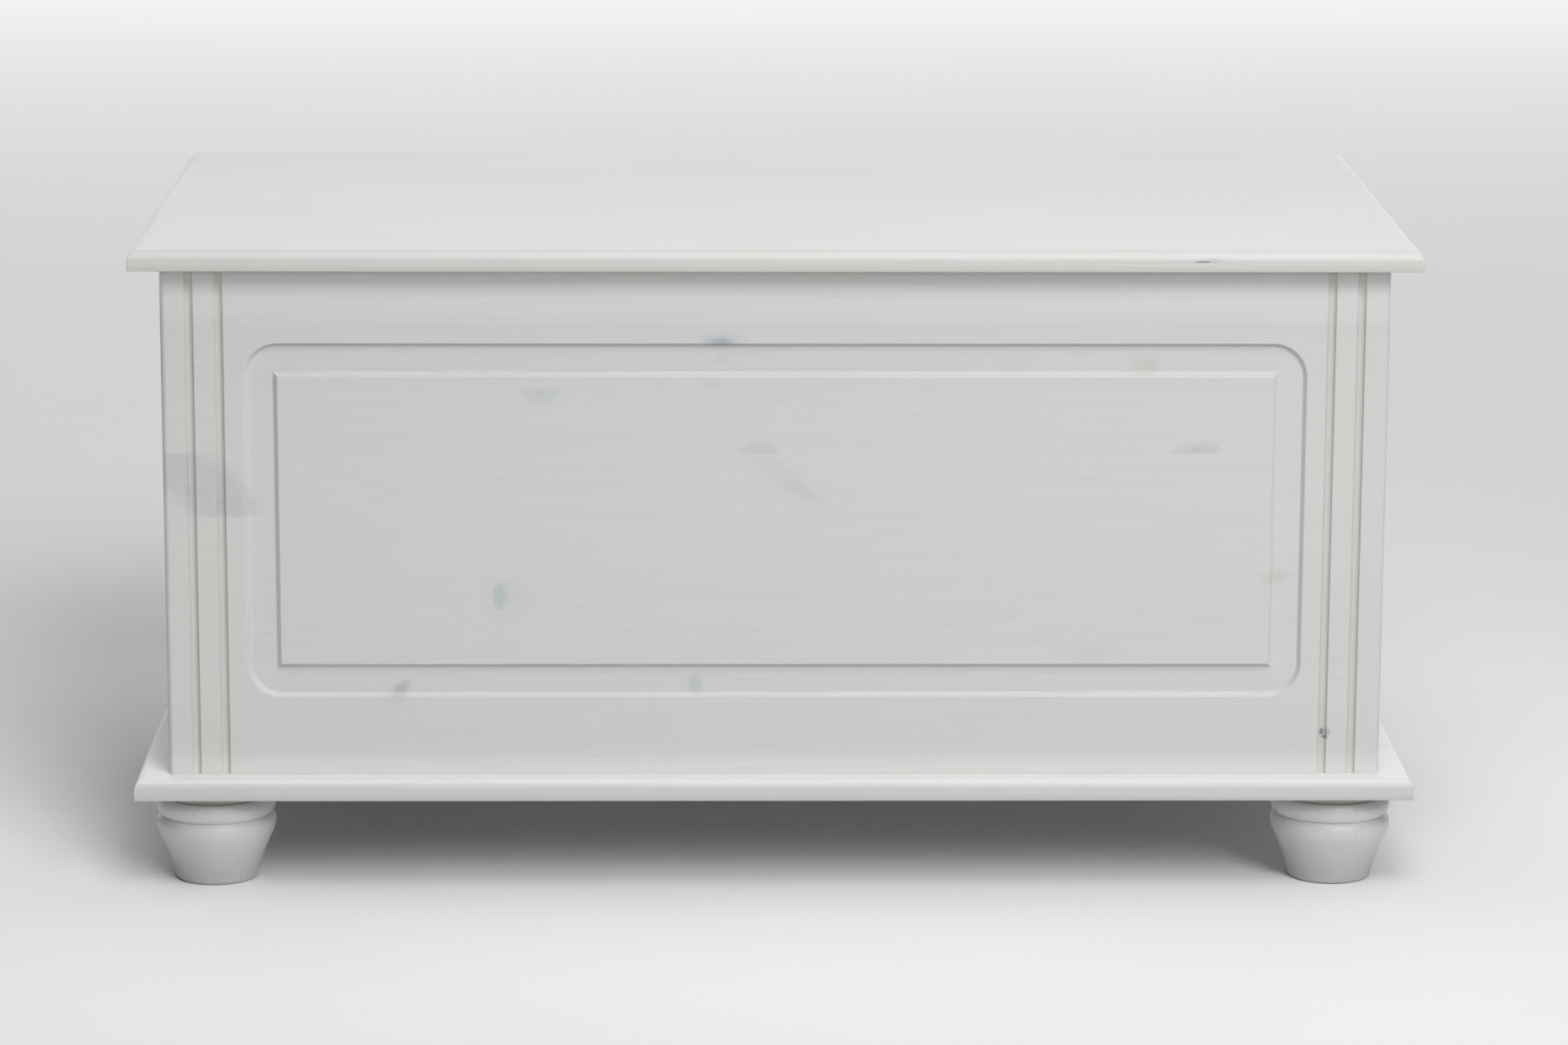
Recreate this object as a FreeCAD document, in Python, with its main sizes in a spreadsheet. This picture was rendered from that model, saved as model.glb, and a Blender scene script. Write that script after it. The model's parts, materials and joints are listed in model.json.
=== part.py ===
import FreeCAD, Part
import math
import os
import re
import Sketcher

# A pine blanket chest with a hinged lid, a routed front and four turned feet.
# Front is -Y, right is +X and up is +Z. The origin is on the floor, under the middle of the base board.
# All sizes are in millimetres and all angles in degrees.

os.makedirs("parts", exist_ok=True)
doc = FreeCAD.newDocument("blanket_chest")
sheet = doc.addObject("Spreadsheet::Sheet", "Sizes")

driving_sizes = (
    # The box: outer width, depth and height of the four panels
    ("body_width", 956),
    ("body_depth", 518),
    ("body_height", 405),
    ("panel_thickness", 16),
    ("corner_round", 4.5),
    # The lid and the base board stand out past the box
    ("lid_thickness", 16),
    ("lid_side_overhang", 22),
    ("lid_front_overhang", 24),
    ("lid_edge_round", 7),
    ("lid_gap", 0.3),
    ("base_thickness", 16),
    ("base_side_overhang", 25.5),
    ("base_front_overhang", 24),
    ("base_back_overhang", 8),
    ("base_edge_round", 6),
    # Upright flutes at both ends of the front
    ("flute_edge_distance", 22.5),
    ("flute_spacing", 23),
    ("flute_cutter_radius", 3.3),
    ("flute_depth", 3),
    # The routed frame of the front and the raised field inside it
    ("frame_side_margin", 63),
    ("frame_bottom_margin", 62),
    ("frame_top_margin", 59),
    ("frame_corner_radius", 27),
    ("frame_depth", 4.2),
    ("frame_outer_slope", 4.5),
    ("frame_floor_width", 18.5),
    ("frame_inner_slope", 5),
    # Square posts glued and screwed into the inner corners
    ("post_side", 22),
    ("post_chamfer", 5),
    ("post_top_clearance", 16),
    # Beech dowels between the front or back panel and the side panels
    ("dowel_radius", 4),
    ("dowel_length", 30),
    ("dowel_end_depth", 10),
    # Turned feet
    ("foot_height", 76),
    ("foot_inset", 12),
    ("foot_toe_radius", 33.5),
    ("foot_toe_round", 3.5),
    ("foot_waist_hollow_radius", 150),
    ("foot_taper_angle", 27.5),
    ("foot_bulge_radius", 47.2),
    ("foot_bulge_height", 41.5),
    ("foot_bulge_round", 12),
    ("foot_bead_radius", 47.5),
    ("foot_bead_height", 60),
    ("foot_bead_half_height", 10.2),
    ("foot_bead_round", 22),
    ("foot_neck_radius", 42),
    # Hanger bolts of the feet and the threaded inserts in the base board
    ("bolt_radius", 4),
    ("bolt_foot_depth", 40),
    ("bolt_tip_length", 5),
    ("bolt_insert_clearance", 0.05),
    ("insert_radius", 6),
    ("insert_length", 13),
    # Wood screws of the panels, posts and battens
    ("screw_head_radius", 4),
    ("screw_shank_radius", 2),
    ("screw_tip_length", 4),
    ("base_screw_length", 40),
    ("post_screw_length", 32),
    ("batten_screw_length", 28),
    # Small screws of the hinges and stays
    ("small_screw_head_radius", 2.8),
    ("small_screw_shank_radius", 1.5),
    ("small_screw_tip_length", 2.5),
    ("hinge_screw_length", 13),
    ("stay_screw_length", 12),
    # Battens across the underside of the lid, placed from the ends of the box
    ("batten_width", 45),
    ("batten_thickness", 18),
    ("batten_end_clearance", 22),
    ("batten_end_distance", 178),
    ("batten_chamfer", 4),
    # Butt hinges let into the back panel and the lid, placed from the ends of the box
    ("hinge_end_distance", 158),
    ("hinge_length", 60),
    ("hinge_leaf_width", 13),
    ("hinge_leaf_thickness", 1.5),
    ("hinge_axis_offset", 3.4),
    ("knuckle_radius", 3),
    ("knuckle_side_gap", 0.3),
    ("hinge_pin_radius", 1.5),
    ("hinge_pin_clearance", 0.05),
    ("hinge_pin_dome_radius", 2.2),
    # Slotted stays that hold the open lid
    ("lid_travel_angle", 95),
    ("stay_post_gap", 7.5),
    ("stay_reach", 149),
    ("stay_drop", 13.5),
    ("stay_arm_half_width", 7.5),
    ("stay_arm_thickness", 2),
    ("stay_slot_end_margin", 8),
    ("stay_slot_play", 0.3),
    ("stay_slot_end_play", 0.6),
    ("stay_side_gap", 0.5),
    ("stay_pin_radius", 2.5),
    ("stay_pin_head_radius", 4.8),
    ("stay_pin_head_thickness", 1.5),
    ("stay_plate_thickness", 1.5),
    ("stay_plate_length", 44),
    ("stay_plate_height", 18),
    ("stay_bracket_thickness", 1.8),
    ("stay_bracket_width", 30),
    ("stay_bracket_flange", 20),
    ("stay_bracket_nose_radius", 7),
    ("rivet_radius", 2.5),
    ("rivet_clearance", 0.08),
    ("rivet_head_radius", 4.2),
    ("rivet_head_thickness", 0.9),
    ("rivet_head_gap", 0.2),
)

for row, (alias, number) in enumerate(driving_sizes, start=1):
    sheet.set("A" + str(row), alias)
    sheet.set("B" + str(row), str(number))
    sheet.setAlias("B" + str(row), alias)
doc.recompute()

# Sizes and places that follow from the driving sizes.
# The guide pin of a stay lies on the circle that the arm's rivet runs round the hinge axis, so the arm turns
# at half the lid's angle. Its closed angle is as wide as lets its tail clear the rear post by the post gap.
derived_sizes = {
    "base_width": "body_width + 2 * base_side_overhang",
    "base_depth": "base_front_overhang + body_depth + base_back_overhang",
    "base_top": "foot_height + base_thickness",
    "body_front": "base_depth / 2 - base_front_overhang",
    "body_back": "body_depth - body_front",
    "body_top": "base_top + body_height",
    "lid_width": "body_width + 2 * lid_side_overhang",
    "lid_depth": "body_depth + lid_front_overhang",
    "lid_bottom": "body_top + lid_gap",
    "inner_width": "body_width - 2 * panel_thickness",
    "inner_depth": "body_depth - 2 * panel_thickness",
    "inner_front": "body_front - panel_thickness",
    "inner_back": "body_back - panel_thickness",
    "inner_middle": "(inner_back - inner_front) / 2",
    "frame_width": "body_width - 2 * frame_side_margin",
    "frame_height": "body_height - frame_bottom_margin - frame_top_margin",
    "field_offset": "frame_outer_slope + frame_floor_width",
    "foot_centre_x": "base_width / 2 - foot_inset - foot_bulge_radius",
    "foot_centre_y": "base_depth / 2 - foot_inset - foot_bulge_radius",
    "foot_notch_height": "foot_bead_height - foot_bead_half_height",
    "foot_shoulder_height": "foot_bead_height + foot_bead_half_height",
    "foot_bead_end_radius": "foot_bead_radius - foot_bead_round"
    " + sqrt(foot_bead_round ^ 2 - foot_bead_half_height ^ 2)",
    "foot_bulge_end_radius": "foot_bulge_radius - foot_bulge_round"
    " + sqrt(foot_bulge_round ^ 2 - (foot_notch_height - foot_bulge_height) ^ 2)",
    "foot_waist_radius": "foot_bulge_radius - foot_bulge_round * (1 - cos(foot_taper_angle))",
    "foot_waist_height": "foot_bulge_height - foot_bulge_round * sin(foot_taper_angle)",
    "batten_length": "inner_depth - 2 * batten_end_clearance",
    "batten_spacing": "body_width - 2 * batten_end_distance",
    "hinge_axis_y": "body_back + hinge_axis_offset",
    "hinge_axis_z": "body_top + lid_gap / 2",
    "hinge_spacing": "body_width - 2 * hinge_end_distance",
    "hinge_left": "-hinge_spacing / 2 - hinge_length / 2",
    "knuckle_pitch": "hinge_length / 5",
    "knuckle_width": "knuckle_pitch - knuckle_side_gap",
    "stay_radius": "sqrt(stay_reach ^ 2 + stay_drop ^ 2)",
    "stay_drop_angle": "atan(stay_drop / stay_reach)",
    "stay_half_travel": "lid_travel_angle * 1deg / 2",
    "stay_tail_reach": "hinge_axis_y - inner_back + post_side"
    " + stay_slot_end_margin + stay_slot_end_play + stay_post_gap",
    "stay_closed_angle": "acos(cos(stay_half_travel - stay_drop_angle) - cos(stay_drop_angle)"
    " + stay_tail_reach / stay_radius) - stay_half_travel - stay_drop_angle",
    "stay_pin_angle": "stay_drop_angle + stay_closed_angle",
    "stay_pivot_y": "hinge_axis_y - stay_reach",
    "stay_pivot_z": "hinge_axis_z - stay_drop",
    "stay_pin_y": "hinge_axis_y - stay_radius * cos(stay_pin_angle)",
    "stay_pin_z": "hinge_axis_z - stay_radius * sin(stay_pin_angle)",
    "stay_arm_angle": "180deg + stay_drop_angle + stay_closed_angle / 2",
    "stay_slot_start": "2 * stay_radius * sin(stay_closed_angle / 2) - stay_slot_end_play",
    "stay_slot_end": "2 * stay_radius * sin(stay_closed_angle / 2 + stay_half_travel)"
    " + stay_slot_end_play",
    "stay_wall": "-inner_width / 2",
    "stay_arm_start": "stay_wall + stay_plate_thickness + stay_side_gap",
    "stay_bracket_start": "stay_arm_start + stay_arm_thickness + stay_side_gap",
}
aliases = [alias for alias, number in driving_sizes]


def formula(text):
    """Turns a formula in the words above into one that reads the sheet's cells."""

    def spell_out(found):
        word = found.group(0)
        if word in derived_sizes:
            return "(" + formula(derived_sizes[word]) + ")"
        if word in aliases:
            return "Sizes." + word
        return word

    return re.sub(r"[a-z]\w*", spell_out, text)


def value(text):
    """The number that a formula gives now."""
    result = sheet.evalExpression(formula(text))
    return float(getattr(result, "Value", result))


def bind(item, path, text):
    """Ties one property of an object to a formula."""
    item.setExpression(path, formula(text))


def place(item, x="0", y="0", z="0"):
    """Ties an object's place to three formulas."""
    for axis, text in (("x", x), ("y", y), ("z", z)):
        bind(item, ".Placement.Base." + axis, text)


def origin_feature(body, role):
    return [item for item in body.Origin.OriginFeatures if item.Role == role][0]


def new_body(name):
    return doc.addObject("PartDesign::Body", name)


def sketch_on(body, plane, name, offset="0"):
    """A new sketch on one of the body's own origin planes, or moved along that plane's normal."""
    sketch = body.newObject("Sketcher::SketchObject", name)
    sketch.AttachmentSupport = [(origin_feature(body, plane), "")]
    sketch.MapMode = "FlatFace"
    if offset != "0":
        bind(sketch, ".AttachmentOffset.Base.z", offset)
    return sketch


def drive(sketch, kind, geometry, text):
    """Adds one driving dimension, such as a distance or a radius, and ties it to a formula."""
    index = sketch.addConstraint(Sketcher.Constraint(kind, *geometry, value(text)))
    bind(sketch, "Constraints[" + str(index) + "]", text)


def drive_point(sketch, point, x, y):
    """Holds one end of a line or arc, or a circle's centre, at two formulas from the sketch's origin."""
    # In a sketch -1 is the horizontal axis, -2 the upright one, and (-1, 1) the origin.
    if x == "0":
        sketch.addConstraint(Sketcher.Constraint("PointOnObject", *point, -2))
    else:
        drive(sketch, "DistanceX", (-1, 1) + point, x)
    if y == "0":
        sketch.addConstraint(Sketcher.Constraint("PointOnObject", *point, -1))
    else:
        drive(sketch, "DistanceY", (-1, 1) + point, y)


def arc_between(start, end, radius):
    """An arc from start to end. A positive radius bends it outwards on a way that runs anticlockwise."""
    chord = end - start
    across = FreeCAD.Vector(-chord.y, chord.x, 0).normalize()
    reach = math.sqrt(max(radius**2 - (chord.Length / 2) ** 2, 0))
    centre = (start + end) / 2 + across * math.copysign(reach, radius)
    first, last = (start, end) if radius > 0 else (end, start)
    angles = [math.atan2(point.y - centre.y, point.x - centre.x) for point in (first, last)]
    circle = Part.Circle(centre, FreeCAD.Vector(0, 0, 1), abs(radius))
    return Part.ArcOfCircle(circle, *angles)


def outline(sketch, corners, arcs=None, half_circles=()):
    """A closed outline through corners, each a pair of formulas.

    arcs gives the radius of each stretch that is an arc: a formula and 1 for outwards or -1 for inwards.
    half_circles lists the stretches that are half a circle, bent outwards.
    """
    arcs = arcs or {}
    points = [FreeCAD.Vector(value(x), value(y), 0) for x, y in corners]
    ends = []
    for number, start in enumerate(points):
        end = points[(number + 1) % len(points)]
        if number in arcs:
            text, side = arcs[number]
            index = sketch.addGeometry(arc_between(start, end, side * value(text)), False)
            drive(sketch, "Radius", (index,), text)
            ends.append(((index, 1), (index, 2)) if side > 0 else ((index, 2), (index, 1)))
        elif number in half_circles:
            index = sketch.addGeometry(arc_between(start, end, (end - start).Length / 2), False)
            sketch.addConstraint(Sketcher.Constraint("Symmetric", index, 1, index, 2, index, 3))
            ends.append(((index, 1), (index, 2)))
        else:
            index = sketch.addGeometry(Part.LineSegment(start, end), False)
            ends.append(((index, 1), (index, 2)))
    for number, (start, end) in enumerate(ends):
        following = ends[(number + 1) % len(ends)][0]
        sketch.addConstraint(Sketcher.Constraint("Coincident", *end, *following))
        drive_point(sketch, start, *corners[number])


def rectangle(sketch, left, bottom, width, height):
    right = left + " + " + width
    top = bottom + " + " + height
    if left == "0":
        right = width
    if bottom == "0":
        top = height
    outline(sketch, ((left, bottom), (right, bottom), (right, top), (left, top)))


def rounded_rectangle(sketch, left, bottom, right, top, radius):
    """A rectangle between four formulas whose corners are quarter circles."""
    near_left, near_right = left + " + " + radius, right + " - (" + radius + ")"
    near_bottom, near_top = bottom + " + " + radius, top + " - (" + radius + ")"
    corners = (
        (near_left, bottom),
        (near_right, bottom),
        (right, near_bottom),
        (right, near_top),
        (near_right, top),
        (near_left, top),
        (left, near_top),
        (left, near_bottom),
    )
    outline(sketch, corners, {number: (radius, 1) for number in (1, 3, 5, 7)})


def circle(sketch, x, y, radius):
    centre = FreeCAD.Vector(value(x), value(y), 0)
    upright = FreeCAD.Vector(0, 0, 1)
    index = sketch.addGeometry(Part.Circle(centre, upright, value(radius)), False)
    drive(sketch, "Radius", (index,), radius)
    drive_point(sketch, (index, 3), x, y)


def slot(sketch, x, start, end, radius):
    """An upright slot with round ends, whose end centres are at start and end."""
    left, right = x + " - " + radius, x + " + " + radius
    if x == "0":
        left, right = "-" + radius, radius
    corners = ((right, start), (right, end), (left, end), (left, start))
    outline(sketch, corners, half_circles=(1, 3))


def pad(body, sketch, length, reverse=False):
    """Raises a sketch into a solid."""
    feature = body.newObject("PartDesign::Pad", sketch.Name + "_pad")
    feature.Profile = sketch
    bind(feature, "Length", length)
    feature.Reversed = reverse
    doc.recompute()
    return feature


def pocket(body, sketch, length=None, reverse=False):
    """Cuts a sketch into the solid, right through where no length is given."""
    before = body.Shape.Volume
    feature = body.newObject("PartDesign::Pocket", sketch.Name + "_pocket")
    feature.Profile = sketch
    if length is None:
        feature.Type = "ThroughAll"
    else:
        bind(feature, "Length", length)
    feature.Reversed = reverse
    doc.recompute()
    if not body.Shape.Volume < before:
        raise RuntimeError(feature.Name + " cuts nothing")
    return feature


def revolve(body, sketch, axis):
    feature = body.newObject("PartDesign::Revolution", sketch.Name + "_turned")
    feature.Profile = sketch
    feature.ReferenceAxis = (sketch, [axis])
    feature.Angle = 360
    doc.recompute()
    return feature


def edges_where(feature, test):
    """Names of the edges whose middle point and direction pass a test."""
    names = []
    for number, edge in enumerate(feature.Shape.Edges, start=1):
        middle = edge.valueAt((edge.FirstParameter + edge.LastParameter) / 2)
        direction = edge.Vertexes[-1].Point - edge.Vertexes[0].Point
        if test(middle, direction):
            names.append("Edge" + str(number))
    return names


def dress(body, kind, feature, edges, size, text):
    """Rounds or bevels edges: kind is Fillet or Chamfer."""
    item = body.newObject("PartDesign::" + kind, feature.Name + "_" + kind.lower())
    item.Base = (feature, edges)
    bind(item, size, text)
    doc.recompute()
    return item


def same(first, second):
    fine = 0.001
    return abs(first - second) < fine


def cut_by(name, blank, tools):
    """The blank with the seats of the pieces that go into it."""
    tool = tools[0]
    if len(tools) > 1:
        tool = doc.addObject("Part::Compound", name + "_seats")
        tool.Links = tools
    item = doc.addObject("Part::Cut", name)
    item.Base = blank
    item.Tool = tool
    doc.recompute()
    if not item.Shape.Volume < blank.Shape.Volume:
        raise RuntimeError(name + " has no seats")
    return item


def mirror(name, source, normal=(1, 0, 0), plane_y="0"):
    """The same piece on the other side of an upright plane."""
    item = doc.addObject("Part::Mirroring", name)
    item.Source = source
    item.Normal = FreeCAD.Vector(*normal)
    bind(item, ".Base.y", plane_y)
    return item


up = FreeCAD.Vector(0, 0, 1)
down = FreeCAD.Vector(0, 0, -1)
sides = (-1, 1)


def turned(points):
    """A solid of revolution about Z from radius and height pairs, bottom to top."""
    corners = list(points)
    if corners[0][0] > 0:
        corners.insert(0, (0, corners[0][1]))
    if corners[-1][0] > 0:
        corners.append((0, corners[-1][1]))
    corners.append(corners[0])
    wire = Part.makePolygon([FreeCAD.Vector(radius, 0, height) for radius, height in corners])
    return Part.Face(wire).revolve(FreeCAD.Vector(0, 0, 0), up, 360)


def screw(length, prefix=""):
    """A countersunk wood screw that stands on its point, with the flat of its head at height zero."""
    head = value(prefix + "screw_head_radius")
    shank = value(prefix + "screw_shank_radius")
    tip = value(prefix + "screw_tip_length")
    long = value(length)
    return turned(((0, -long), (shank, tip - long), (shank, shank - head), (head, 0)))


def fastener_group(name, shape, places):
    """Equal fasteners as one object. Each place is a point and the way that the fastener's head looks."""
    copies = []
    for point, outwards in places:
        copy = shape.copy()
        copy.Placement = FreeCAD.Placement(point, FreeCAD.Rotation(up, outwards))
        copies.append(copy)
    item = doc.addObject("Part::Feature", name)
    item.Shape = Part.makeCompound(copies)
    return item


# Screws, dowels and bolts
panel_screw_shares = (0.12, 0.5, 0.88)
side_screw_shares = (0.25, 0.75)
dowel_height_shares = (0.12, 0.5, 0.88)
post_end_screw_shares = (0.2, 0.8)
post_side_screw_shares = (0.3, 0.7)
batten_screw_shares = (0.08, 0.5, 0.92)
hinge_screw_shares = (0.15, 0.5, 0.85)


def base_screws():
    """Up through the base board into the lower edges of the four panels."""
    half = value("panel_thickness / 2")
    height = value("foot_height")
    places = []
    for y in (half - value("body_front"), value("body_back") - half):
        for share in panel_screw_shares:
            x = (share - 0.5) * value("body_width")
            places.append((FreeCAD.Vector(x, y, height), down))
    for side in sides:
        for share in side_screw_shares:
            y = share * value("body_depth") - value("body_front")
            x = side * (value("body_width / 2") - half)
            places.append((FreeCAD.Vector(x, y, height), down))
    return fastener_group("base_screws", screw("base_screw_length"), places)


def post_screws():
    """From the faces of each corner post into the two panels that it joins."""
    x_face = value("inner_width / 2 - post_side")
    x_middle = value("inner_width / 2 - post_side / 2")
    floor, height = value("base_top"), value("body_height")
    ends = (
        (-value("inner_front"), 1),
        (value("inner_back"), -1),
    )
    places = []
    for side in sides:
        for wall, inwards in ends:
            face = wall + inwards * value("post_side")
            middle = wall + inwards * value("post_side / 2")
            for share in post_end_screw_shares:
                point = FreeCAD.Vector(side * x_middle, face, floor + share * height)
                places.append((point, FreeCAD.Vector(0, inwards, 0)))
            for share in post_side_screw_shares:
                point = FreeCAD.Vector(side * x_face, middle, floor + share * height)
                places.append((point, FreeCAD.Vector(-side, 0, 0)))
    return fastener_group("post_screws", screw("post_screw_length"), places)


def panel_dowels():
    """Each dowel lies along Y, part in the front or back panel and the rest in a side panel."""
    radius, length = value("dowel_radius"), value("dowel_length")
    dowel = turned(((radius, -length), (radius, 0)))
    x = value("body_width / 2 - panel_thickness / 2")
    ends = (
        (-value("inner_front + dowel_end_depth"), -1),
        (value("inner_back + dowel_end_depth"), 1),
    )
    places = []
    for side in sides:
        for y, outwards in ends:
            for share in dowel_height_shares:
                z = value("base_top") + share * value("body_height")
                places.append((FreeCAD.Vector(side * x, y, z), FreeCAD.Vector(0, outwards, 0)))
    return fastener_group("panel_dowels", dowel, places)


def foot_places(height):
    x, y = value("foot_centre_x"), value("foot_centre_y")
    return [(FreeCAD.Vector(side * x, end * y, height), up) for side in sides for end in sides]


def foot_hanger_bolts():
    """A pointed wood thread in the foot and a plain end up in the insert."""
    radius = value("bolt_radius")
    low = -value("bolt_foot_depth")
    top = value("insert_length")
    shape = turned(((0, low), (radius, low + value("bolt_tip_length")), (radius, top)))
    return fastener_group("foot_hanger_bolts", shape, foot_places(value("foot_height")))


def insert_body():
    radius = value("insert_radius")
    return turned(((radius, 0), (radius, value("insert_length"))))


def foot_thread_inserts():
    """Threaded bushes in the base board that take the bolts."""
    bore_radius = value("bolt_radius + bolt_insert_clearance")
    bore = turned(((bore_radius, 0), (bore_radius, value("insert_length"))))
    return fastener_group("foot_thread_inserts", insert_body().cut(bore), foot_places(value("foot_height")))


def insert_seats():
    return fastener_group("insert_seats", insert_body(), foot_places(value("foot_height")))


def hinge_screws(name, height, outwards):
    """Three screws in each leaf, on the middle line of the wood that they go into."""
    y = value("body_back - hinge_leaf_width / 2")
    places = []
    for side in sides:
        for share in hinge_screw_shares:
            x = side * (value("hinge_left") + share * value("hinge_length"))
            places.append((FreeCAD.Vector(x, y, value(height)), outwards))
    return fastener_group(name, screw("hinge_screw_length", "small_"), places)


def stay_plate_screws():
    """Two in each plate, out into the side panel."""
    x = value("inner_width / 2 - stay_plate_thickness")
    half_spacing = value("stay_plate_length / 2 - stay_plate_height / 3")
    places = []
    for side in sides:
        for end in sides:
            point = FreeCAD.Vector(side * x, value("stay_pin_y") + end * half_spacing, value("stay_pin_z"))
            places.append((point, FreeCAD.Vector(-side, 0, 0)))
    return fastener_group("stay_plate_screws", screw("stay_screw_length", "small_"), places)


def stay_bracket_screws():
    """Two in each bracket's flange, up into the lid."""
    x = value("stay_bracket_start + stay_bracket_flange * 3 / 5")
    half_spacing = value("stay_bracket_width / 4")
    z = value("lid_bottom - stay_bracket_thickness")
    places = []
    for side in sides:
        for end in sides:
            point = FreeCAD.Vector(-side * x, value("stay_pivot_y") + end * half_spacing, z)
            places.append((point, down))
    return fastener_group("stay_bracket_screws", screw("stay_screw_length", "small_"), places)


def batten_screws():
    """Up through each batten into the lid."""
    y_start = value("inner_middle - batten_length / 2")
    z = value("lid_bottom - batten_thickness")
    places = []
    for side in sides:
        for share in batten_screw_shares:
            y = y_start + share * value("batten_length")
            places.append((FreeCAD.Vector(side * value("batten_spacing / 2"), y, z), down))
    return fastener_group("batten_screws", screw("batten_screw_length"), places)


# Boards
def edge_rounded_board(name, width, depth, thickness, edge_round):
    """A flat board whose upper edges are rounded, all but the one at the back."""
    body = new_body(name)
    plan = sketch_on(body, "XY_Plane", name + "_plan")
    rectangle(plan, "0", "0", width, depth)
    board = pad(body, plan, thickness)
    top, back = value(thickness), value(depth)
    edges = edges_where(board, lambda middle, way: same(middle.z, top) and not same(middle.y, back))
    dress(body, "Fillet", board, edges, "Radius", edge_round)
    return body


def base_board(seats):
    blank = edge_rounded_board(
        "base_board_blank", "base_width", "base_depth", "base_thickness", "base_edge_round"
    )
    place(blank, "-base_width / 2", "-base_depth / 2", "foot_height")
    return cut_by("base_board", blank, seats)


def hinge_mortise(body, name, plane_offset, left, back_edge, reverse):
    """Two shallow recesses, open at the back edge, that the hinge leaves lie in."""
    plan = sketch_on(body, "XY_Plane", name, plane_offset)
    front_edge = back_edge + " - hinge_leaf_width"
    rectangle(plan, left, front_edge, "hinge_length", "hinge_leaf_width")
    rectangle(plan, left + " + hinge_spacing", front_edge, "hinge_length", "hinge_leaf_width")
    pocket(body, plan, "hinge_leaf_thickness", reverse)


def lid_board(seats):
    blank = edge_rounded_board(
        "lid_board_blank", "lid_width", "lid_depth", "lid_thickness", "lid_edge_round"
    )
    left = "lid_width / 2 + hinge_left"
    hinge_mortise(blank, "lid_mortises", "0", left, "lid_depth", True)
    place(blank, "-lid_width / 2", "-body_front - lid_front_overhang", "lid_bottom")
    return cut_by("lid_board", blank, seats)


def front_panel(seats):
    """One wide board with flutes at its ends and a routed frame round a raised field."""
    blank = new_body("front_panel_blank")
    face = sketch_on(blank, "XZ_Plane", "front_face")
    rectangle(face, "0", "0", "body_width", "body_height")
    board = pad(blank, face, "panel_thickness", True)

    def front_upright(middle, way):
        return same(middle.y, 0) and same(way.x, 0)

    dress(blank, "Fillet", board, edges_where(board, front_upright), "Radius", "corner_round")

    flutes = sketch_on(blank, "XY_Plane", "flutes")
    near = ("flute_edge_distance", "flute_edge_distance + flute_spacing")
    for x in near + tuple("body_width - (" + distance + ")" for distance in near):
        upright = FreeCAD.Vector(0, 0, 1)
        centre = FreeCAD.Vector(value(x), value("flute_depth - flute_cutter_radius"), 0)
        index = flutes.addGeometry(Part.Circle(centre, upright, value("flute_cutter_radius")), False)
        drive(flutes, "Radius", (index,), "flute_cutter_radius")
        drive(flutes, "DistanceX", (-1, 1, index, 3), x)
        drive(flutes, "DistanceY", (index, 3, -1, 1), "flute_cutter_radius - flute_depth")
    pocket(blank, flutes, None, True)

    left, right = "frame_side_margin", "body_width - frame_side_margin"
    bottom, top = "frame_bottom_margin", "body_height - frame_top_margin"
    mouth = sketch_on(blank, "XZ_Plane", "frame_mouth")
    rounded_rectangle(mouth, left, bottom, right, top, "frame_corner_radius")
    floor = sketch_on(blank, "XZ_Plane", "frame_floor", "-frame_depth")
    slope = "frame_outer_slope"
    rounded_rectangle(
        floor,
        left + " + " + slope,
        bottom + " + " + slope,
        right + " - " + slope,
        top + " - " + slope,
        "(frame_corner_radius - frame_outer_slope)",
    )
    before = blank.Shape.Volume
    recess = blank.newObject("PartDesign::SubtractiveLoft", "frame_recess")
    recess.Profile = mouth
    recess.Sections = [floor]
    recess.Ruled = True
    doc.recompute()
    if not blank.Shape.Volume < before:
        raise RuntimeError("the routed frame cuts nothing")

    foot_of_field = sketch_on(blank, "XZ_Plane", "field_foot", "-frame_depth")
    rectangle(
        foot_of_field,
        "frame_side_margin + field_offset",
        "frame_bottom_margin + field_offset",
        "frame_width - 2 * field_offset",
        "frame_height - 2 * field_offset",
    )
    top_of_field = sketch_on(blank, "XZ_Plane", "field_top")
    rectangle(
        top_of_field,
        "frame_side_margin + field_offset + frame_inner_slope",
        "frame_bottom_margin + field_offset + frame_inner_slope",
        "frame_width - 2 * field_offset - 2 * frame_inner_slope",
        "frame_height - 2 * field_offset - 2 * frame_inner_slope",
    )
    before = blank.Shape.Volume
    field = blank.newObject("PartDesign::AdditiveLoft", "raised_field")
    field.Profile = foot_of_field
    field.Sections = [top_of_field]
    field.Ruled = True
    doc.recompute()
    if not blank.Shape.Volume > before:
        raise RuntimeError("the raised field adds nothing")

    place(blank, "-body_width / 2", "-body_front", "base_top")
    return cut_by("front_panel", blank, seats)


def back_panel(seats):
    blank = new_body("back_panel_blank")
    face = sketch_on(blank, "XZ_Plane", "back_face")
    rectangle(face, "0", "0", "body_width", "body_height")
    pad(blank, face, "panel_thickness", True)
    left = "body_width / 2 + hinge_left"
    hinge_mortise(blank, "back_mortises", "body_height", left, "panel_thickness", False)
    place(blank, "-body_width / 2", "inner_back", "base_top")
    return cut_by("back_panel", blank, seats)


def left_side_panel(seats):
    blank = new_body("left_side_panel_blank")
    face = sketch_on(blank, "YZ_Plane", "side_face")
    rectangle(face, "0", "0", "inner_depth", "body_height")
    pad(blank, face, "panel_thickness")
    place(blank, "-body_width / 2", "-inner_front", "base_top")
    return cut_by("left_side_panel", blank, seats)


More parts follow.
